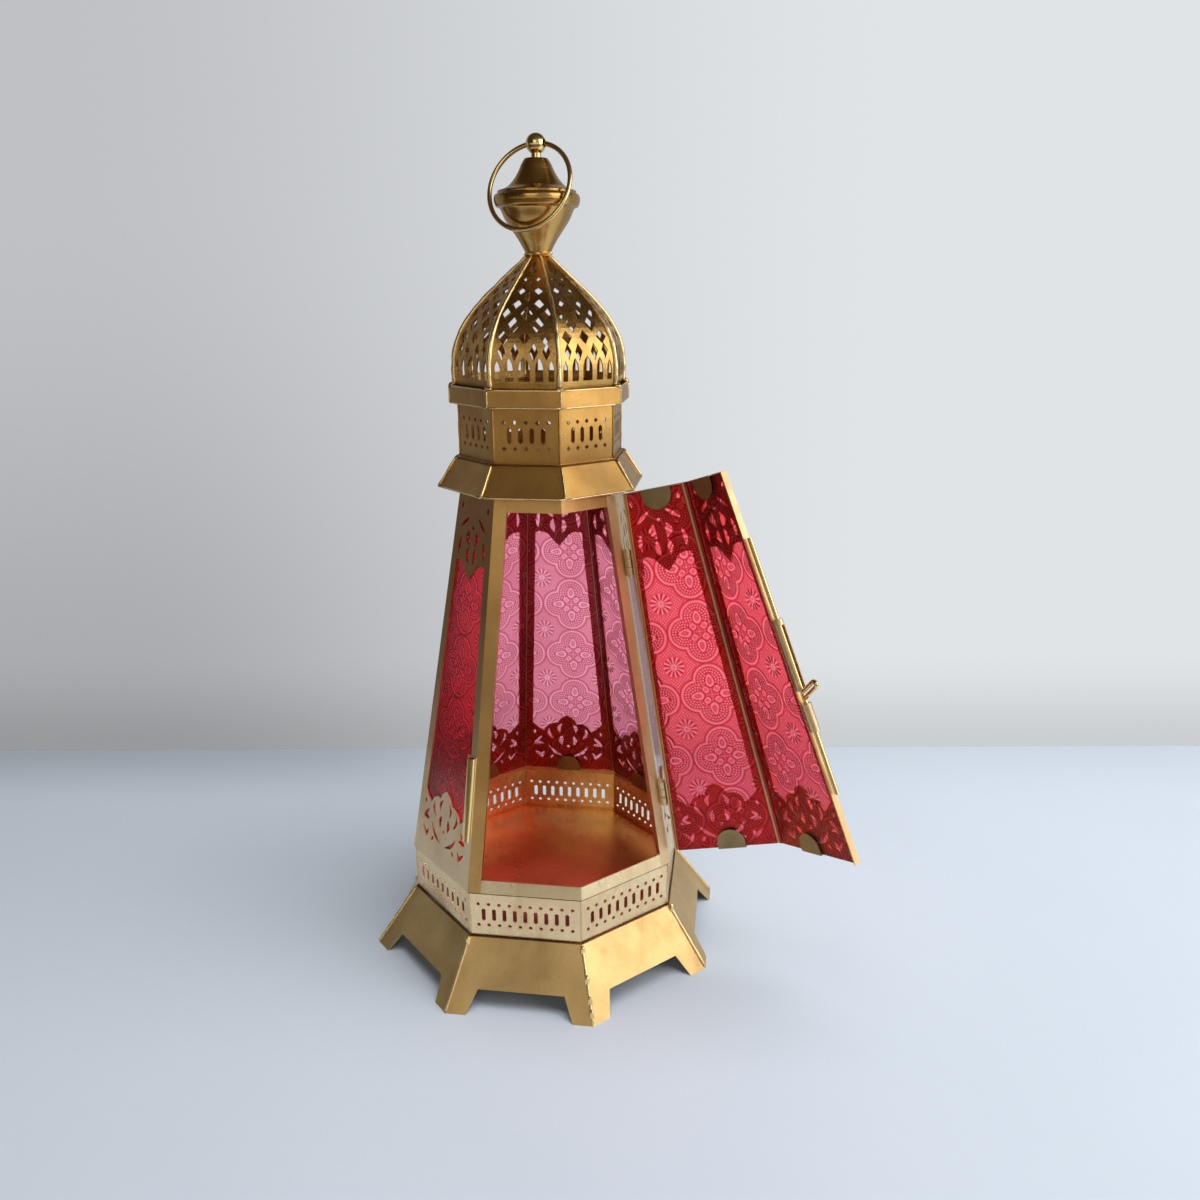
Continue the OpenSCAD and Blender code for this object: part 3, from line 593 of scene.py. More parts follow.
@dataclass(frozen=True)
class Wall:
    """The eight-sided tapering wall that most pieces are laid out on.

    Attributes:
        foot_flat: Distance from the axis to a side's foot.
        head_flat: Distance from the axis to a side's head.
        foot_z: Level of its foot.
        height: Its height.
        sides: How many sides it has.
    """

    foot_flat: float = 75.5 * MM
    head_flat: float = 41.6 * MM
    foot_z: float = 61 * MM
    height: float = 213 * MM
    sides: int = 8

    @property
    def lean(self) -> float:
        """Angle of a side from upright."""
        return math.atan2(self.foot_flat - self.head_flat, self.height)

    @property
    def slope(self) -> float:
        """Length of a side, up its slope."""
        return math.hypot(self.foot_flat - self.head_flat, self.height)

    @property
    def turn(self) -> float:
        """Angle from one side to the next."""
        return 2 * math.pi / self.sides

    def half_at(self, up: float) -> float:
        """Works out half the width of a side.

        Args:
            up: Distance up the side's slope.

        Returns:
            Half the width there.
        """
        reach = self.foot_flat - (self.foot_flat - self.head_flat) * up / self.slope
        return reach * math.tan(self.turn / 2)

    def side(self, number: int) -> Matrix:
        """Works out the place of a side.

        Args:
            number: The side's number, counted from the front to the right.

        Returns:
            The place, with X across, Y up the slope and Z outwards.
        """
        up = Matrix.Rotation(math.pi / 2 - self.lean, 4, "X")
        foot = Matrix.Translation((0, -self.foot_flat, self.foot_z))
        return Matrix.Rotation(self.turn * number, 4, "Z") @ foot @ up

    def corner(self, number: int, flat: float, z: float) -> Vector:
        """Works out a corner of an eight-sided outline.

        Args:
            number: The number of the side before the corner.
            flat: Distance from the axis to the outline's sides.
            z: The outline's level.

        Returns:
            The corner.
        """
        angle = self.turn * (number + 0.5)
        radius = flat / math.cos(self.turn / 2)
        return Vector((math.sin(angle) * radius, -math.cos(angle) * radius, z))


def keep(
    name: str,
    shape: bmesh.types.BMesh,
    material: bpy.types.Material,
    body: Body,
) -> bpy.types.Object:
    """Turns a bmesh into a smooth piece that rides on a body.

    Args:
        name: The piece's name.
        shape: The bmesh, which is freed.
        material: Its material.
        body: The body it rides on.

    Returns:
        The piece.
    """
    mesh = bpy.data.meshes.new(name)
    shape.to_mesh(mesh)
    shape.free()
    mesh.materials.append(material)
    mesh.polygons.foreach_set("use_smooth", [True] * len(mesh.polygons))
    piece = bpy.data.objects.new(name, mesh)
    bpy.context.scene.collection.objects.link(piece)
    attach(piece, body.value)
    log.info("made %s: %d faces", name, len(mesh.polygons))
    return piece


@dataclass(frozen=True)
class PressedPattern:
    """The pressed flower pattern of the glass: linked four-lobed rings and daisies.

    Attributes:
        pitch: Distance between two rings, across and up.
        lobe_out: Distance of a lobe's centre from the ring's centre.
        lobe_r: Radius of a lobe.
        dot: Spacing of the dots that fill a lobe.
        stipple: Spacing of the dots between the rings.
        daisy_r: Radius of a daisy.
        petals: How many petals a daisy has.
        hem: Distance from a lobe's edge to its first row of dots.
        leaf_out: Distance of a leaf's middle from the ring's centre.
        leaf_long: Half the length of a leaf.
        leaf_wide: Half the width of a leaf.
        curl_out: Distance of a curl's middle from the ring's centre, on the diagonals.
        curl_r: Radius of a curl.
    """

    pitch: float = 35.5 * MM
    lobe_out: float = 8.2 * MM
    lobe_r: float = 7.3 * MM
    dot: float = 1.5 * MM
    stipple: float = 1.9 * MM
    daisy_r: float = 6.0 * MM
    petals: int = 12
    hem: float = 0.9 * MM
    leaf_out: float = 8.0 * MM
    leaf_long: float = 2.9 * MM
    leaf_wide: float = 1.75 * MM
    curl_out: float = 4.3 * MM
    curl_r: float = 1.5 * MM

    # Ridges and grooves: place and width in millimetres, and rise as a share of the relief.
    RING_LINES: ClassVar[Lines] = ((-0.1, 0.4, -0.5), (0.95, 0.6, 0.3), (2.2, 0.5, -0.6))
    LEAF_LINES: ClassVar[Lines] = ((0.0, 0.38, 0.5), (-0.85, 0.4, -0.3), (0.75, 0.38, -0.55))
    CURL_LINES: ClassVar[Lines] = ((0.0, 0.36, 0.45), (0.75, 0.36, -0.4))
    CORE_LINES: ClassVar[Lines] = ((1.3, 0.4, 0.4), (2.1, 0.35, -0.4))
    DAISY_LINES: ClassVar[Lines] = ((1.2, 0.4, 0.45), (6.4, 0.4, -0.2))
    CORE_R: ClassVar[float] = 2.2 * MM

    @staticmethod
    def _drawn(distance: np.ndarray, lines: Lines) -> np.ndarray:
        """Adds up round ridges and grooves.

        Args:
            distance: Distance of each place from an outline.
            lines: Place, width and rise of each ridge or groove.

        Returns:
            Their relief.
        """
        relief = np.zeros_like(distance)
        for place, width, rise in lines:
            relief += rise * np.exp(-(((distance - place * MM) / (width * MM)) ** 2))
        return relief

    @staticmethod
    def _wave(run: np.ndarray, length: float) -> np.ndarray:
        """Returns a wave from 0 to 1 with its crests at whole lengths."""
        return 0.5 + 0.5 * np.cos(2 * np.pi * run / length)

    @staticmethod
    def _step(distance: np.ndarray, start: float, width: float) -> np.ndarray:
        """Returns a slope from 0 at the start to 1 a width further on."""
        return np.clip((distance - start) / width, 0, 1)

    def height(self, across: np.ndarray, up: np.ndarray) -> np.ndarray:
        """Works out the relief.

        Args:
            across: Places across the pane, in metres.
            up: Places up the pane, in metres.

        Returns:
            The relief, from 0 in the grooves to 1 on the ridges.
        """
        x = (across + self.pitch / 2) % self.pitch - self.pitch / 2
        y = (up + self.pitch / 2) % self.pitch - self.pitch / 2
        u = (across % self.pitch) - self.pitch / 2
        v = (up % self.pitch) - self.pitch / 2
        ring, beads = self._ring(x, y)
        heart, heart_edge = self._heart(x, y)
        relief = 0.5 + self._drawn(ring, self.RING_LINES)
        lobe = self._step(-ring, 0.3 * MM, 0.3 * MM) * self._step(heart_edge, 0.7 * MM, 0.4 * MM)
        relief += lobe * (1.5 * beads - 0.5)
        relief += heart * self._step(-ring, 0.0, 0.5 * MM)
        ground = self._step(ring, 3.0 * MM, 0.3 * MM)
        ground = ground * self._step(np.hypot(u, v), self.daisy_r + 0.9 * MM, 0.4 * MM)
        dots = self._wave(u + v, self.stipple) * self._wave(u - v, self.stipple)
        relief += ground * (0.9 * dots - 0.3)
        relief += self._daisy(u, v) * self._step(ring, 2.6 * MM, 0.5 * MM)
        return np.clip(relief, 0, 1)

    def _ring(self, x: np.ndarray, y: np.ndarray) -> tuple[np.ndarray, np.ndarray]:
        """Works out the four-lobed ring.

        Args:
            x: Places across, from the ring's centre.
            y: Places up, from the ring's centre.

        Returns:
            The distance to the ring's edge, and the dots that lie in rows inside it.
        """
        best = np.full_like(x, 1.0)
        angle = np.zeros_like(x)
        for turn in range(4):
            cx = self.lobe_out * math.cos(turn * math.pi / 2)
            cy = self.lobe_out * math.sin(turn * math.pi / 2)
            distance = np.hypot(x - cx, y - cy) - self.lobe_r
            nearer = distance < best
            best = np.where(nearer, distance, best)
            angle = np.where(nearer, np.arctan2(y - cy, x - cx), angle)
        inset = -best - self.hem
        row = np.round(inset / self.dot)
        girth = 2 * np.pi * np.maximum(self.lobe_r - self.hem - row * self.dot, self.dot)
        count = np.round(girth / self.dot)
        return best, self._wave(inset, self.dot) * (0.5 + 0.5 * np.cos(angle * count))

    def _heart(self, x: np.ndarray, y: np.ndarray) -> tuple[np.ndarray, np.ndarray]:
        """Works out the leaves and curls in the middle of a ring.

        Args:
            x: Places across, from the ring's centre.
            y: Places up, from the ring's centre.

        Returns:
            Their relief, and the distance from them.
        """
        relief = np.zeros_like(x)
        edge = np.full_like(x, 1.0)
        for turn in range(4):
            c, s = math.cos(turn * math.pi / 2), math.sin(turn * math.pi / 2)
            out, side = x * c + y * s, -x * s + y * c
            middle = (out - self.leaf_out) / self.leaf_long
            girth = np.maximum(self.leaf_wide - 0.45 * MM * middle, 0.3 * MM)
            leaf = (np.hypot(middle, side / girth) - 1) * self.leaf_wide
            steep, flat = (out + side) / math.sqrt(2), (out - side) / math.sqrt(2)
            curl = np.hypot(steep - self.curl_out, flat) - self.curl_r
            relief += self._drawn(leaf, self.LEAF_LINES) + self._drawn(curl, self.CURL_LINES)
            edge = np.minimum(edge, np.minimum(leaf, curl))
        core = np.hypot(x, y)
        relief += self._drawn(core, self.CORE_LINES)
        return relief, np.minimum(edge, core - self.CORE_R)

    def _daisy(self, u: np.ndarray, v: np.ndarray) -> np.ndarray:
        """Works out a daisy.

        Args:
            u: Places across, from the daisy's centre.
            v: Places up, from the daisy's centre.

        Returns:
            Its relief.
        """
        radius, angle = np.hypot(u, v), np.arctan2(v, u)
        ray = np.cos(angle * self.petals / 2) ** 2
        reach = self._step(radius, 1.9 * MM, 0.5 * MM)
        reach = reach * self._step(-radius, -self.daisy_r, 0.5 * MM)
        return 1.3 * reach * (ray - 0.62) + self._drawn(radius, self.DAISY_LINES)


@dataclass(frozen=True)
class PaneCut:
    """The outline and the place of one pane.

    Attributes:
        node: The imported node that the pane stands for.
        side: Number of the side that it lies on.
        foot: Distance of its lower edge up the slope.
        head: Distance of its upper edge up the slope.
        left: How far its left edge stays from the side's left corner line.
        right: The same on the right.
        inner: Level of its pressed face, outwards from the wall's face.
        outer: Level of its plain face.
        body: The body it rides on.
        shift: Where the pattern's middle lies, across and up.
    """

    node: str
    side: int
    foot: float
    head: float
    left: float
    right: float
    inner: float
    outer: float
    body: Body
    shift: tuple[float, float]


@dataclass
class PressedPanes:
    """The red panes, with their relief on the face towards the candle.

    Attributes:
        wall: The wall that they lie in.
        finishes: The lantern's finishes.
        open_door: The turn that opens the door's panes.
        pattern: Their pressed pattern.
        grid: Spacing of their points.
        relief: Depth of the pattern.
        rim: Width over which it fades at their edges.
        deep_sides: The fixed sides whose glass is the deeper red, a painted shade as on the
            door's panes.
        back_side: The side that is seen through the door.
        back_shift: Where the pattern's middle lies on that side, across and up.
        wall_ends: How far the fixed panes stay from their sides' feet and heads.
        wall_gap: How far they stay from their sides' corner lines.
        wall_faces: Levels of their pressed and plain faces, outwards.
        door_ends: Distances of the door's panes' feet and heads up the slope.
        door_faces: Levels of their pressed and plain faces.
        hinge_gaps: How far the hinge-side pane stays from its corner lines.
        hinge_shift: Where its pattern's middle lies.
        free_gaps: How far the free-side pane stays from its corner lines.
        free_shift: Where its pattern's middle lies.
    """

    wall: Wall
    finishes: Finishes
    open_door: Matrix
    pattern: PressedPattern = field(default_factory=PressedPattern)
    grid: float = 0.38 * MM
    relief: float = 0.4 * MM
    rim: float = 0.6 * MM
    deep_sides: tuple[int, ...] = (7,)
    back_side: int = 4
    back_shift: tuple[float, float] = (-6.3 * MM, 57.6 * MM)
    wall_ends: tuple[float, float] = (5 * MM, 8 * MM)
    wall_gap: float = 1.3 * MM
    wall_faces: tuple[float, float] = (-2.7 * MM, -0.9 * MM)
    door_ends: tuple[float, float] = (8.5 * MM, 211.7 * MM)
    door_faces: tuple[float, float] = (0.85 * MM, 2.65 * MM)
    hinge_gaps: tuple[float, float] = (1.6 * MM, 3.6 * MM)
    hinge_shift: tuple[float, float] = (-10 * MM, -9 * MM)
    free_gaps: tuple[float, float] = (2.3 * MM, 1.6 * MM)
    free_shift: tuple[float, float] = (7 * MM, 23 * MM)

    def cuts(self) -> list[PaneCut]:
        """Lists the eight panes of the lantern.

        Returns:
            Their outlines and places.
        """
        names = ("right", "back_right", "back", "back_left", "left", "front_left")
        foot, head = self.wall_ends[0], self.wall.slope - self.wall_ends[1]
        made = [
            PaneCut(f"pane_{name}", side, foot, head, self.wall_gap, self.wall_gap,
                    *self.wall_faces, Body.LANTERN, self._shift(side))
            for side, name in enumerate(names, start=2)
        ]
        made.append(PaneCut("door_pane_hinge_side", 1, *self.door_ends, *self.hinge_gaps,
                            *self.door_faces, Body.DOOR, self.hinge_shift))
        made.append(PaneCut("door_pane_free_side", 0, *self.door_ends, *self.free_gaps,
                            *self.door_faces, Body.DOOR, self.free_shift))
        return made

    def _shift(self, side: int) -> tuple[float, float]:
        """Chooses where the pattern lies on a fixed pane.

        Args:
            side: The side's number.

        Returns:
            The place of the pattern's middle, across and up.
        """
        if side == self.back_side:
            return self.back_shift
        return (side * 7.3 % 5 - 2.5) * MM, side * 11.9 * MM

    def build(self) -> None:
        """Makes every pane."""
        for cut in self.cuts():
            self._pane(cut)

    def _pane(self, cut: PaneCut) -> None:
        """Makes one pane.

        Args:
            cut: Its outline and place.
        """
        tall = cut.head - cut.foot
        wide = 2 * self.wall.half_at(cut.foot)
        columns, rows = round(wide / self.grid), round(tall / self.grid)
        shape = bmesh.new()
        bmesh.ops.create_grid(shape, x_segments=columns, y_segments=rows, size=1.0)
        shape.verts.ensure_lookup_table()
        unit = np.array([v.co for v in shape.verts])
        up = cut.foot + (unit[:, 1] + 1) / 2 * tall
        half = np.array([self.wall.half_at(s) for s in up])
        share = (unit[:, 0] + 1) / 2
        across = (cut.left - half) * (1 - share) + (half - cut.right) * share
        relief = self.pattern.height(across - cut.shift[0], up - cut.shift[1])
        edge = np.minimum(np.minimum(half - cut.right - across, across + half - cut.left),
                          np.minimum(up - cut.foot, cut.head - up))
        relief *= np.clip(edge / self.rim, 0, 1)
        level = cut.inner + self.relief * (1 - relief)
        for vertex, x, y, z in zip(shape.verts, across, up, level):
            vertex.co = (x, y, z)
        layer = shape.verts.layers.float.new("relief")
        for vertex, value in zip(shape.verts, relief):
            vertex[layer] = value
        rim = [e for e in shape.edges if e.is_boundary]
        pressed = len(shape.faces)
        grown = bmesh.ops.extrude_edge_only(shape, edges=rim)["geom"]
        for vertex in (g for g in grown if isinstance(g, bmesh.types.BMVert)):
            vertex.co.z = cut.outer
            vertex[layer] = 0.5
        bmesh.ops.holes_fill(shape, edges=[e for e in shape.edges if e.is_boundary])
        bmesh.ops.recalc_face_normals(shape, faces=shape.faces)
        matrix = self.wall.side(cut.side)
        if cut.body is Body.DOOR:
            matrix = self.open_door @ matrix
        shape.transform(matrix)
        # The door's panes and the panes of the deep sides take the deeper red, a painted shade.
        deep = cut.body is Body.DOOR or cut.side in self.deep_sides
        glass = self.finishes.door_glass if deep else self.finishes.glass
        piece = keep(f"pressed_{cut.node}", shape, glass, cut.body)
        smooth = [index < pressed for index in range(len(piece.data.polygons))]
        piece.data.polygons.foreach_set("use_smooth", smooth)
        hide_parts(cut.node)


@dataclass
class Metalwork:
    """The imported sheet-metal nodes, which keep their shapes and get their finishes.

    Attributes:
        finishes: The lantern's finishes.
        nodes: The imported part's nodes by name.
    """

    finishes: Finishes
    nodes: dict[str, bpy.types.Object]

    def dress(self) -> None:
        """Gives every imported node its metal."""
        groups = {
            self.finishes.skirt: ("foot_skirt",),
            self.finishes.band: ("lower_gallery", "door_sill"),
            self.finishes.inner: ("candle_floor",),
            self.finishes.crown: ("eave", "drum", "collar", "apex_washer"),
            self.finishes.dome: ("dome_gores",),
            self.finishes.left: ("side_panel_front_left",),
            self.finishes.post: ("lock_post", "door_lintel"),
            self.finishes.door: ("door_hinge_panel", "door_free_panel"),
            self.finishes.bright: ("finial_cup", "finial_cone", "finial_nut"),
            self.finishes.polished: ("finial_stud", "hanging_ring", "drop_bolt", "hinge_pins",
                                     "bolt_keeper"),
            self.finishes.copper: ("door_fold_strip",),
            self.finishes.tab: ("pane_tabs", "door_pane_tabs"),
        }
        metals = {name: metal for metal, names in groups.items() for name in names}
        for name, node in self.nodes.items():
            node.data.materials.clear()
            node.data.materials.append(metals.get(name, self.finishes.body))
        log.info("dressed %d nodes", len(self.nodes))


def tube(shape: bmesh.types.BMesh, line: Curve, radii: Sequence[float], sides: int) -> None:
    """Adds a closed tube along a line.

    Args:
        shape: The bmesh it is added to.
        line: The points of its middle line.
        radii: Its radius at each point.
        sides: How many sides its section has.
    """
    first = bmesh.ops.create_circle(shape, cap_ends=True, segments=sides, radius=1.0)["verts"]
    ring = list(first)
    base = [vertex.co.copy() for vertex in ring]
    side = Vector((0, 0, 1)).cross(line[1] - line[0])
    side = side.normalized() if side.length > 1e-9 else Vector((1, 0, 0))
    for index, point in enumerate(line):
        ahead = line[min(index + 1, len(line) - 1)] - line[max(index - 1, 0)]
        ahead.normalize()
        side = (side - ahead * side.dot(ahead)).normalized()
        up = ahead.cross(side)
        if index:
            edges = {edge for vertex in ring for edge in vertex.link_edges
                     if edge.other_vert(vertex) in ring}
            grown = bmesh.ops.extrude_edge_only(shape, edges=list(edges))["geom"]
            fresh = {v for v in grown if isinstance(v, bmesh.types.BMVert)}
            ring = [next(e.other_vert(v) for e in v.link_edges if e.other_vert(v) in fresh)
                    for v in ring]
        for vertex, place in zip(ring, base):
            vertex.co = point + (side * place.x + up * place.y) * radii[index]
    bmesh.ops.contextual_create(shape, geom=ring)
    bmesh.ops.recalc_face_normals(shape, faces=shape.faces)


@dataclass
class SolderSeams:
    """Beads of solder along the corners of the sheet metal.

    Attributes:
        wall: The wall that they are laid out on.
        finishes: The lantern's finishes.
        step: Spacing of a bead's sections.
        sides: How many sides a section has.
        rib_foot: Where the lumps at the dome's ribs lie: distance to a side and level.
        rib_lump: Their half lengths, in millimetres.
        neck: Where the lumps under the finial lie: distance from the axis and level.
        neck_lumps: How many they are.
        skirt_foot: Distance to a side and level of the skirt's foot, in millimetres.
        skirt_rise: The same from its foot to its head.
        skirt_lump: Half lengths of its lumps, in millimetres.
        skirt_lump_shares: The corner of each lump and its place from foot to head.
    """

    wall: Wall
    finishes: Finishes
    step: float = 1.6 * MM
    sides: int = 8
    rib_foot: tuple[float, float] = (43.6 * MM, 327.6 * MM)
    rib_lump: tuple[float, float, float] = (1.9, 1.5, 1.2)
    neck: tuple[float, float] = (5.6 * MM, 392.4 * MM)
    neck_lumps: int = 8
    skirt_foot: tuple[float, float] = (97.7, 0.6)
    skirt_rise: tuple[float, float] = (-21.9, 33.0)
    skirt_lump: tuple[float, float, float] = (1.4, 1.4, 3.2)
    skirt_lump_shares: tuple[tuple[int, float], ...] = (
        (0, 0.13), (0, 0.3), (0, 0.55), (0, 0.93), (7, 0.95), (1, 0.95),
    )

    def build(self) -> None:
        """Makes the beads up the corners, round the edges and under the finial.

        Each run has its name, then its outline as distance to the sides and level, and its
        radii at foot and head. Each hem has one distance, level and radius. All of these are
        in millimetres.
        """
        metal = self.finishes
        runs = (
            ("skirt_seams", [(97.2, 1.2), (75.8, 33.6)], (0.8, 0.9), metal.solder),
            ("gallery_seams", [(74.3, 34.4), (74.3, 60.6)], (0.5, 0.5), metal.body),
            ("eave_seams", [(52.5, 274.4), (43.3, 289.6)], (0.7, 0.6), metal.solder),
            ("drum_seams", [(41.1, 290.4), (41.1, 317.8)], (0.55, 0.55), metal.crown),
            ("collar_seams", [(45.2, 318.4), (45.2, 326.6)], (0.5, 0.5), metal.solder),
            ("dome_seams", self._dome(), (1.4, 0.8), metal.solder),
        )
        hems = (
            # The dark beads at the wall's foot, the skirt's head and the drum's foot are painted
            # shadow lines.
            ("wall_foot_shadow_line", 74.62, 60.75, 0.42, metal.joint),
            ("skirt_head_shadow_line", 75.05, 34.1, 0.5, metal.joint),
            ("eave_hem", 52.5, 274.2, 0.5, metal.solder),
            ("drum_foot_shadow_line", 43.4, 289.75, 0.4, metal.joint),
            ("collar_foot_hem", 45.1, 318.3, 0.42, metal.solder),
            ("collar_head_hem", 45.1, 326.9, 0.42, metal.solder),
        )
        for seed, run in enumerate(runs, start=1):
            self._runs(*run, seed)
        for seed, hem in enumerate(hems, start=11):
            self._hem(*hem, seed)
        self._blobs()

    @staticmethod
    def _dome() -> Outline:
        """Works out the dome's profile, one curve from its foot to its top.

        Returns:
            Distances to a gore and levels, in millimetres.
        """
        foot, top, tall, low = 42.05, 5.1, 65.0, 326.9
        ends = [Vector((foot, 0)), Vector((1.085 * foot, 0.446 * tall)),
                Vector((0.742 * foot, 0.61 * tall)), Vector((top, tall))]
        points = []
        for index in range(27):
            t = index / 26
            shares = ((1 - t) ** 3, 3 * t * (1 - t) ** 2, 3 * t * t * (1 - t), t**3)
            place = sum((end * share for end, share in zip(ends, shares)), Vector((0, 0)))
            points.append((place.x, place.y + low))
        return points

    def _runs(
        self,
        name: str,
        profile: Outline,
        radii: tuple[float, float],
        metal: bpy.types.Material,
        seed: int,
    ) -> None:
        """Makes one piece that holds the bead of every corner.

        Args:
            name: The piece's name.
            profile: Distance to the sides and level, in millimetres, from foot to head.
            radii: The bead's radius at its foot and its head, in millimetres.
            metal: Its finish.
            seed: Start of its unevenness.
        """
        shape = bmesh.new()
        levels = np.array([level for _, level in profile]) * MM
        flats = np.array([flat for flat, _ in profile]) * MM
        run = np.concatenate([[0], np.cumsum(np.hypot(np.diff(levels), np.diff(flats)))])
        count = max(4, round(run[-1] / self.step))
        for corner in range(self.wall.sides):
            line, thick = [], []
            for index in range(count + 1):
                share = index / count
                at = run[-1] * index / count
                flat, level = float(np.interp(at, run, flats)), float(np.interp(at, run, levels))
                wobble = noise.noise(Vector((at * 260, corner * 7.1, seed * 3.7)))
                line.append(self.wall.corner(corner, flat, level))
                radius = radii[0] * (1 - share) + radii[1] * share
                thick.append(radius * MM * (1 + 0.35 * wobble))
            tube(shape, line, thick, self.sides)
        keep(name, shape, metal, Body.LANTERN)

    def _hem(
        self, name: str, flat: float, level: float, radius: float, metal: bpy.types.Material,
        seed: int,
    ) -> None:
        """Makes one piece that runs round the eight sides like a rolled edge.

        Args:
            name: The piece's name.
            flat: Distance from the axis to its middle line, in millimetres.
            level: Its level, in millimetres.
            radius: Its radius, in millimetres.
            metal: Its finish.
            seed: Start of its unevenness.
        """
        shape = bmesh.new()
        for side in range(self.wall.sides):
            start = self.wall.corner(side, flat * MM, level * MM)
            end = self.wall.corner(side + 1, flat * MM, level * MM)
            line, thick = [], []
            for index in range(9):
                share = index / 8
                wobble = noise.noise(Vector((share * 5, side * 3.3, seed * 2.9)))
                line.append(start.lerp(end, share))
                thick.append(radius * MM * (1 + 0.25 * wobble))
            tube(shape, line, thick, self.sides)
        keep(name, shape, metal, Body.LANTERN)

    def _blobs(self) -> None:
        """Makes the lumps of solder at the ribs' feet, under the finial and on the skirt."""
        shape = bmesh.new()
        for corner in range(self.wall.sides):
            self._blob(shape, self.wall.corner(corner, *self.rib_foot), self.rib_lump, corner)
        reach, level = self.neck
        for index in range(self.neck_lumps):
            angle = math.radians(index * 360 / self.neck_lumps + 11 * math.sin(index * 2.1))
            wide = 2.3 + 0.5 * math.sin(index * 1.7)
            point = Vector((math.sin(angle) * reach, -math.cos(angle) * reach, level))
            self._blob(shape, point, (wide, wide, 0.8 + 0.25 * (index % 3)), index + 20)
        for corner, share in self.skirt_lump_shares:
            flat, level = (a + b * share for a, b in zip(self.skirt_foot, self.skirt_rise))
            point = self.wall.corner(corner, flat * MM, level * MM)
            self._blob(shape, point, self.skirt_lump, corner * 5 + round(share * 10))
        keep("solder_lumps", shape, self.finishes.solder, Body.LANTERN)

    @staticmethod
    def _blob(
        shape: bmesh.types.BMesh, point: Vector, size: tuple[float, float, float], seed: int
    ) -> None:
        """Adds one lump of solder.

        Args:
            shape: The bmesh it is added to.
            point: Its middle.
            size: Its half lengths, in millimetres.
            seed: Start of its unevenness.
        """
        made = bmesh.ops.create_icosphere(shape, subdivisions=3, radius=1.0)["verts"]
        for vertex in made:
            bulge = 1 + 0.35 * noise.noise(vertex.co * 1.3 + Vector((seed * 3.1, 0, 0)))
            place = Vector(a * b for a, b in zip(vertex.co * bulge, size))
            vertex.co = point + place * MM


@dataclass
class SpunFinial:
    """The spun cup and cone of the finial, with their rounded rim.

    Attributes:
        finishes: The lantern's finishes.
        foot_z: Level of the cup's foot.
        bore: Radius of the hole for the stud.
        wall: Thickness of the sheet.
        segments: How many segments they have round the axis.
        steps: How many points the outline gets for each one given.
    """

    finishes: Finishes
    foot_z: float = 392.8 * MM
    bore: float = 1.65 * MM
    wall: float = 0.9 * MM
    segments: int = 96
    steps: int = 6

    def build(self) -> None:
        """Makes both pieces from their outlines in millimetres over the cup's foot."""
        cup = [
            (1.7, 0), (6.4, 0), (6.9, 0.9), (9.6, 5.8), (12.9, 10.7), (16.3, 15.7), (18.4, 20.2),
            (19.2, 21.6), (20.1, 22.0), (20.9, 22.3), (21.3, 22.9), (21.7, 24.0), (21.95, 25.0),
            (21.98, 25.7),
        ]
        cone = [
            (21.98, 25.8), (21.9, 26.8), (21.5, 27.8), (20.9, 28.3), (20.3, 28.5), (20.1, 28.9),
            (20.15, 29.5), (19.8, 30.0), (19.0, 30.15), (17.0, 30.9), (14.5, 32.3), (11.6, 35.4),
            (9.3, 39.0), (7.6, 42.6), (6.3, 44.6), (5.4, 45.3), (1.7, 45.3),
        ]
        self._spin("spun_cup", cup, "finial_cup")
        self._spin("spun_cone", cone, "finial_cone")

    def _spin(self, name: str, outline: Outline, node: str) -> None:
        """Spins a sheet-metal shell from its outer outline.

        Args:
            name: The piece's name.
            outline: Radius and height over the cup's foot, in millimetres.
            node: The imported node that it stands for.
        """
        outer = self._smooth([Vector((r * MM, 0, z * MM + self.foot_z)) for r, z in outline])
        inner = []
        for index, point in enumerate(outer):
            ahead = outer[min(index + 1, len(outer) - 1)] - outer[max(index - 1, 0)]
            inward = Vector((-ahead.z, 0, ahead.x)).normalized()
            place = point + inward * self.wall
            inner.append(Vector((max(place.x, self.bore), 0, place.z)))
        shape = bmesh.new()
        ring = [shape.verts.new(point) for point in outer + inner[::-1]]
        edges = [shape.edges.new((a, b)) for a, b in zip(ring, ring[1:] + ring[:1])]
        bmesh.ops.spin(shape, geom=ring + edges, cent=(0, 0, 0), axis=(0, 0, 1),
                       angle=2 * math.pi, steps=self.segments, use_merge=True)
        bmesh.ops.remove_doubles(shape, verts=shape.verts, dist=0.00001)
        bmesh.ops.recalc_face_normals(shape, faces=shape.faces)
        piece = keep(name, shape, self.finishes.bright, Body.LANTERN)
        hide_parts(node)

    def _smooth(self, points: Curve) -> Curve:
        """Rounds a line.

        Args:
            points: The points that it runs through.

        Returns:
            A finer line through the same points.
        """
        line = []
        ends = [points[0], *points, points[-1]]
        for a, b, c, d in zip(ends, ends[1:], ends[2:], ends[3:]):
            for step in range(self.steps):
                t = step / self.steps
                place = b * 2 + (c - a) * t + (a * 2 - b * 5 + c * 4 - d) * t**2
                line.append((place + (b * 3 - a - c * 3 + d) * t**3) / 2)
        return line + [points[-1]]


# The studio


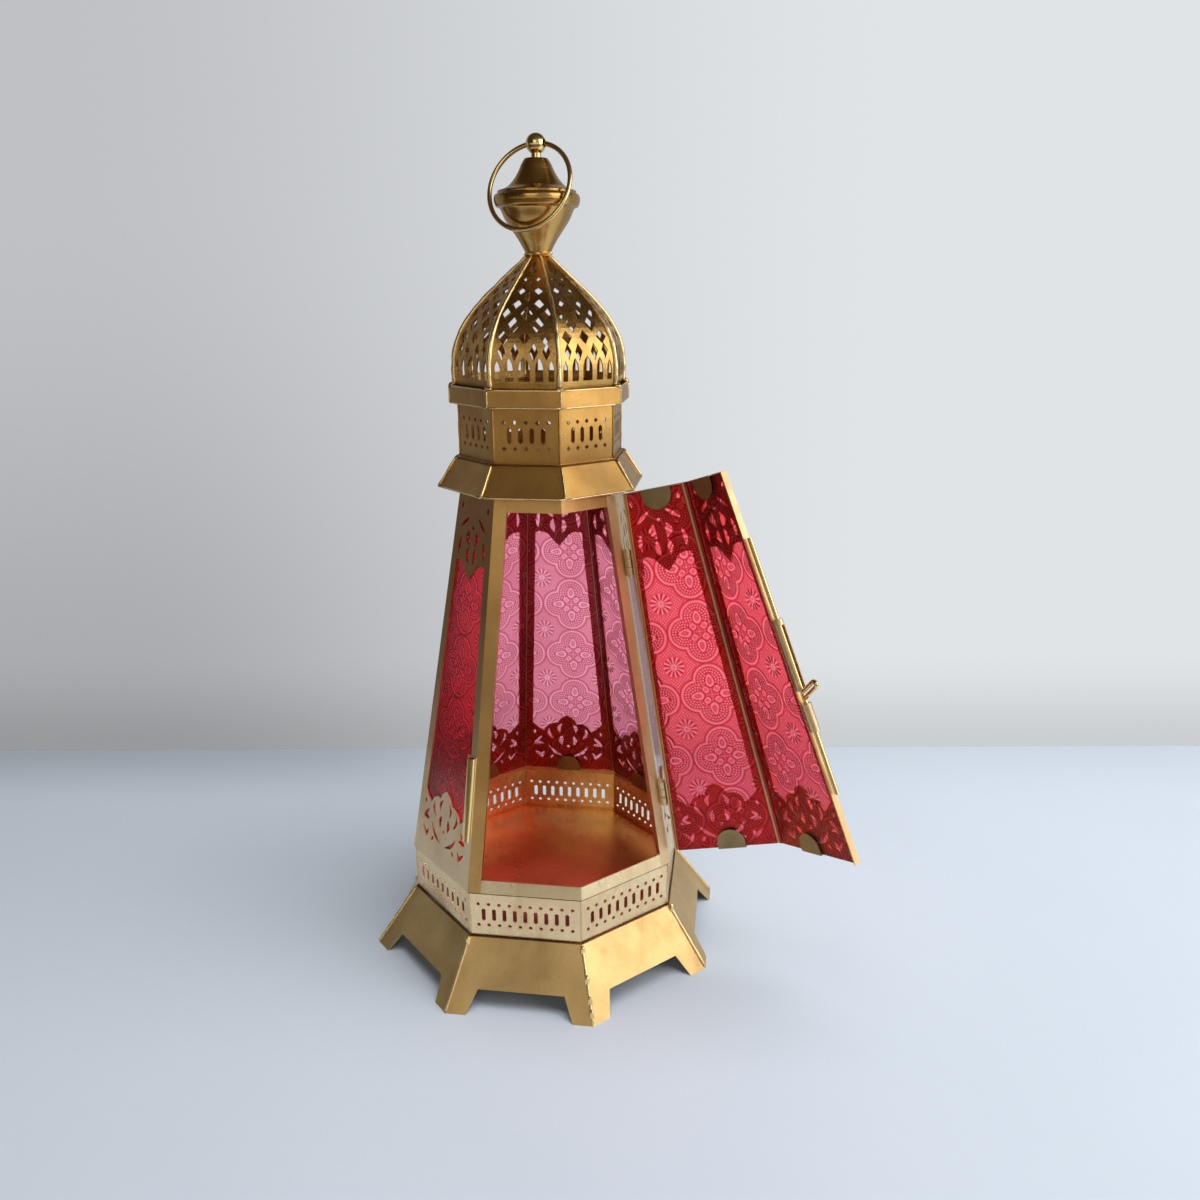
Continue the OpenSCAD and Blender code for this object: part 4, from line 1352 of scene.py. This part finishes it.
@dataclass(frozen=True)
class SoftLamp:
    """A square lamp.

    Attributes:
        name: Its name.
        place: Where it hangs.
        target: Where it points.
        size: Its edge, in metres.
        watts: Its power.
        colour: Its colour.
        mirrored: Whether metal shows it.
    """

    name: str
    place: tuple[float, float, float]
    target: tuple[float, float, float]
    size: float
    watts: float
    colour: Colour
    mirrored: bool = True

    def hang(self) -> None:
        """Makes the lamp."""
        data = bpy.data.lights.new(self.name, "AREA")
        data.size = self.size
        data.energy = self.watts
        data.color = self.colour
        lamp = bpy.data.objects.new(self.name, data)
        lamp.location = self.place
        lamp.rotation_mode = "QUATERNION"
        way = Vector(self.target) - Vector(self.place)
        lamp.rotation_quaternion = way.to_track_quat("-Z", "Y")
        lamp.visible_glossy = self.mirrored
        bpy.context.scene.collection.objects.link(lamp)


@dataclass
class Studio:
    """The table, the wall behind it, the lamps and the camera.

    Attributes:
        table_tone: Colour of the table.
        table_edge: Colour that metal sees beyond the table's edges.
        room_front: Colour of the room far in front, as metal sees it.
        room_left: Light of the room at the left.
        room_right: Light of the room at the right.
        wall_dim: Tone of the wall at the left.
        wall_lit: Tone of the wall at the right.
        ceiling: Colour of the ceiling.
        front_edge: Where the table ends in front, for metal.
        left_edge: Where it ends at the left.
        room_edge: Where the far room begins in front.
        back_edge: Where the wall stands.
        edge_fade: Width over which the table ends, for metal.
        room_fade: Width over which the far room begins.
        wall_slope: Slope of the wall's foot line across the table.
        wall_shadow: Width of the darker strip along the wall.
        haze_reach: Distances between which the table turns pale for the camera.
        haze_side: Half the width over which that pale tone goes from dim to lit.
        wall_side: Widths between which the wall gets lighter, a painted light.
        wall_rise: Height up to which it gets lighter, a painted light.
        wall_foot: Height of its foot's painted shade.
        wall_head: Heights between which metal sees the ceiling's colour.
        room_side: Half the width over which the room gets lighter.
        room_head: Slopes between which the ceiling begins.
        wall_glow: Strength of the wall behind the panes.
        wall_dull: Strength of the wall in metal.
        room_glow: Strength of the room's light.
        reach: Half the edge of the table and of the wall.
        focal: Focal length in pixels of the photograph.
        frame: Width of the photograph in pixels.
        eye: Place of the camera.
        azimuth: Turn of the camera about Z, in degrees.
        pitch: How far it looks down, in degrees.
        roll: Its roll, in degrees.
        lamps: A large soft lamp at the right and two weak ones.
    """

    table_tone: Colour = rgb(226, 236, 247)
    table_edge: Colour = rgb(118, 98, 74)
    room_front: Colour = rgb(250, 240, 225)
    room_left: Colour = rgb(84, 66, 50)
    room_right: Colour = rgb(236, 232, 224)
    wall_dim: Colour = rgb(168, 169, 172)
    wall_lit: Colour = rgb(225, 228, 231)
    ceiling: Colour = rgb(92, 77, 60)
    front_edge: float = -0.36
    room_edge: float = -1.7
    left_edge: float = -0.42
    back_edge: float = 0.245
    edge_fade: float = 0.05
    room_fade: float = 0.5
    wall_slope: float = 0.137
    wall_shadow: float = 0.1
    haze_reach: tuple[float, float] = (0.6, 1.8)
    haze_side: float = 1.5
    wall_side: tuple[float, float] = (-0.4, 0.24)
    wall_rise: float = 0.45
    wall_foot: float = 0.09
    wall_head: tuple[float, float] = (0.45, 0.85)
    room_side: float = 0.65
    room_head: tuple[float, float] = (0.4, 0.85)
    wall_glow: float = 1.34
    wall_dull: float = 0.55
    room_glow: float = 0.5
    reach: float = 6.0
    focal: float = 1016.1
    frame: float = 1200.0
    eye: Vector = field(default_factory=lambda: Vector((0.1061, -0.5448, 0.3712)))
    azimuth: float = 7.79
    pitch: float = 16.62
    roll: float = -0.23
    lamps: tuple[SoftLamp, ...] = (
        SoftLamp(
            name="window_right", place=(1.2, -0.3, 0.7), target=(0.0, 0.0, 0.15),
            size=1.1, watts=8.7, colour=(0.98, 0.98, 1.0),
        ),
        SoftLamp(
            name="sky_above", place=(0.3, -0.1, 1.5), target=(0.0, 0.0, 0.1),
            size=1.2, watts=16.0, colour=(0.92, 0.96, 1.0), mirrored=False,
        ),
        SoftLamp(
            name="front_fill", place=(-0.1, -1.5, 0.9), target=(0.0, 0.0, 0.2),
            size=0.8, watts=2.0, colour=(1.0, 0.96, 0.9),
        ),
    )

    def build(self) -> None:
        """Makes the whole studio."""
        self._table()
        self._wall()
        self._world()
        for lamp in self.lamps:
            lamp.hang()
        self._camera()

    def _sheet(self, name: str, place: Matrix) -> ShaderSheet:
        """Makes a flat square of the stage.

        Args:
            name: Its name.
            place: Its place; it faces its own Z.

        Returns:
            Its material's sheet.
        """
        shape = bmesh.new()
        bmesh.ops.create_grid(shape, x_segments=1, y_segments=1, size=self.reach)
        shape.transform(place)
        mesh = bpy.data.meshes.new(name)
        shape.to_mesh(mesh)
        shape.free()
        square = bpy.data.objects.new(name, mesh)
        bpy.context.scene.collection.objects.link(square)
        material = bpy.data.materials.new(f"{name}_paint")
        mesh.materials.append(material)
        return ShaderSheet(material)

    @staticmethod
    def _light(sheet: ShaderSheet, colour: Flow | Colour, strength: float) -> Flow:
        """Adds a plain glow.

        Args:
            sheet: The material's sheet.
            colour: Its colour.
            strength: Its strength.

        Returns:
            The shader.
        """
        return sheet.node("ShaderNodeEmission", {}, {"Color": colour, "Strength": strength})

    @staticmethod
    def _blend(sheet: ShaderSheet, share: Flow, first: Flow, second: Flow) -> Flow:
        """Blends two shaders.

        Args:
            sheet: The material's or world's sheet.
            share: How much of the second shader is taken.
            first: A shader.
            second: A shader.

        Returns:
            The blended shader.
        """
        return sheet.node("ShaderNodeMixShader", {}, {0: share, 1: first, 2: second})

    @staticmethod
    def _rays(sheet: ShaderSheet) -> tuple[Flow, Flow, Flow]:
        """Tells the kinds of rays apart.

        Args:
            sheet: The material's or world's sheet.

        Returns:
            Whether a ray comes from the camera, from metal, or through the panes.
        """
        seen = sheet.node("ShaderNodeLightPath", output="Is Camera Ray")
        outs = seen.socket.node.outputs
        return seen, Flow(sheet, outs["Is Glossy Ray"]), Flow(sheet, outs["Is Transmission Ray"])

    def _table(self) -> None:
        """Makes the table; metal sees it end where the camera can't look."""
        sheet = self._sheet("table_top", Matrix.Identity(4))
        place = sheet.place()
        x, y, _ = sheet.parts(place)
        seen, shiny, _ = self._rays(sheet)
        blotch = sheet.cloud(place, 5, 3.0).ramp(0.35, 0.7)
        tone = sheet.mix(blotch * 0.12, self.table_tone, tuple(c * 0.85 for c in self.table_tone))
        # Painted shade on the table: darker in a strip along the wall's foot, more so towards the
        # left.
        back = y - x * self.wall_slope
        back = back.ramp(self.back_edge - self.wall_shadow, self.back_edge)
        tone = sheet.mix(back * (x.ramp(0.0, -0.25) * 0.2 + 0.05), tone, BLACK)
        beyond = y.ramp(self.front_edge, self.front_edge - self.edge_fade)
        beyond = beyond.highest(x.ramp(self.left_edge, self.left_edge - self.edge_fade))
        paint = sheet.node("ShaderNodeBsdfPrincipled", {}, {
            "Base Color": sheet.mix(beyond * shiny, tone, self.table_edge),
            "Roughness": 0.5,
        })
        far = y.ramp(self.room_edge, self.room_edge - self.room_fade) * shiny
        table = self._blend(sheet, far, paint, self._light(sheet, self.room_front, 1.0))
        haze = sheet.mix(x.ramp(-self.haze_side, self.haze_side), self.wall_dim, self.wall_lit)
        distance = (x * x + y * y).power(0.5).ramp(*self.haze_reach)
        sheet.finish(self._blend(sheet, seen * distance, table, self._light(sheet, haze, 1.0)))

    def _wall(self) -> None:
        """Makes the wall, whose tone the camera and the panes see; it is clear from behind."""
        turn = Matrix.Rotation(math.radians(self.azimuth), 4, "Z")
        stand = Matrix.Translation((0, self.back_edge, self.reach - 0.1))
        sheet = self._sheet("room_wall", turn @ stand @ Matrix.Rotation(math.pi / 2, 4, "X"))
        x, _, z = sheet.parts(sheet.place())
        seen, _, clear = self._rays(sheet)
        # Painted light and shade on the wall: lighter to the right and upwards, darker along its
        # foot.
        light = 1 - (1 - x.ramp(*self.wall_side)) * (1 - z.ramp(0.0, self.wall_rise) * 0.36)
        tone = sheet.mix(light, self.wall_dim, self.wall_lit)
        tone = sheet.mix((1 - z.ramp(0.0, self.wall_foot)) * 0.2, tone, BLACK)
        dim = sheet.mix(z.ramp(*self.wall_head), tone, self.ceiling)
        dim = self._light(sheet, dim, self.wall_dull)
        glow = self._blend(sheet, clear, dim, self._light(sheet, tone, self.wall_glow))
        front = self._blend(sheet, seen, glow, self._light(sheet, tone, 1.0))
        away = sheet.node("ShaderNodeNewGeometry", output="Backfacing")
        sheet.finish(self._blend(sheet, away, front, sheet.node("ShaderNodeBsdfTransparent")))

    def _world(self) -> None:
        """Makes the room: dim at the left and in front, lighter at the right."""
        world = bpy.data.worlds.new("room")
        bpy.context.scene.world = world
        sheet = ShaderSheet(world)
        x, _, z = sheet.parts(sheet.node("ShaderNodeTexCoord", output="Generated"))
        seen, _, clear = self._rays(sheet)
        tone = sheet.mix(x.ramp(-0.6, 0.6), self.wall_dim, self.wall_lit)
        shown = sheet.node("ShaderNodeBackground", {}, {"Color": tone, "Strength": 1.0})
        lit = sheet.mix(x.ramp(-self.room_side, self.room_side), self.room_left, self.room_right)
        lit = sheet.mix(z.ramp(*self.room_head) * 0.85, lit, self.ceiling)
        room = sheet.node("ShaderNodeBackground", {}, {"Color": lit, "Strength": self.room_glow})
        sheet.finish(self._blend(sheet, seen.highest(clear), room, shown))

    def _camera(self) -> None:
        """Puts the camera where the photograph was taken from."""
        data = bpy.data.cameras.new("photographer")
        data.sensor_width = 36.0
        data.sensor_fit = "HORIZONTAL"
        data.lens = self.focal / self.frame * data.sensor_width
        data.clip_start = 0.01
        camera = bpy.data.objects.new("photographer", data)
        turn = Matrix.Rotation(math.radians(self.azimuth), 4, "Z")
        tip = Matrix.Rotation(math.radians(90 - self.pitch), 4, "X")
        roll = Matrix.Rotation(math.radians(self.roll), 4, "Z")
        camera.matrix_world = Matrix.Translation(self.eye) @ turn @ tip @ roll
        bpy.context.scene.collection.objects.link(camera)
        bpy.context.scene.camera = camera


def door_matrix(joints: Sequence[dict[str, Any]], opened: float) -> Matrix:
    """Works out the turn that opens what is laid out closed.

    Args:
        joints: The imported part's joints.
        opened: The angle at which the door stands open, in degrees.

    Returns:
        The turn about the hinge line.
    """
    hinge = next(joint for joint in joints if joint["name"] == "door_hinge")
    pin = Matrix.Translation(hinge["pos_m"])
    turn = Matrix.Rotation(math.radians(opened), 4, Vector(hinge["axis"]))
    return pin @ turn @ pin.inverted()


def main() -> None:
    """Builds the lantern's looks and the studio."""
    logging.basicConfig(level=logging.INFO, format="%(message)s")
    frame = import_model()
    bpy.context.scene.view_settings.view_transform = "Standard"
    finishes = Finishes.make()
    wall = Wall()
    Metalwork(finishes, frame["nodes"]).dress()
    SolderSeams(wall, finishes).build()
    SpunFinial(finishes).build()
    PressedPanes(wall, finishes, door_matrix(frame["joints"], DOOR_OPEN)).build()
    Studio().build()


if __name__ == "__main__":
    main()
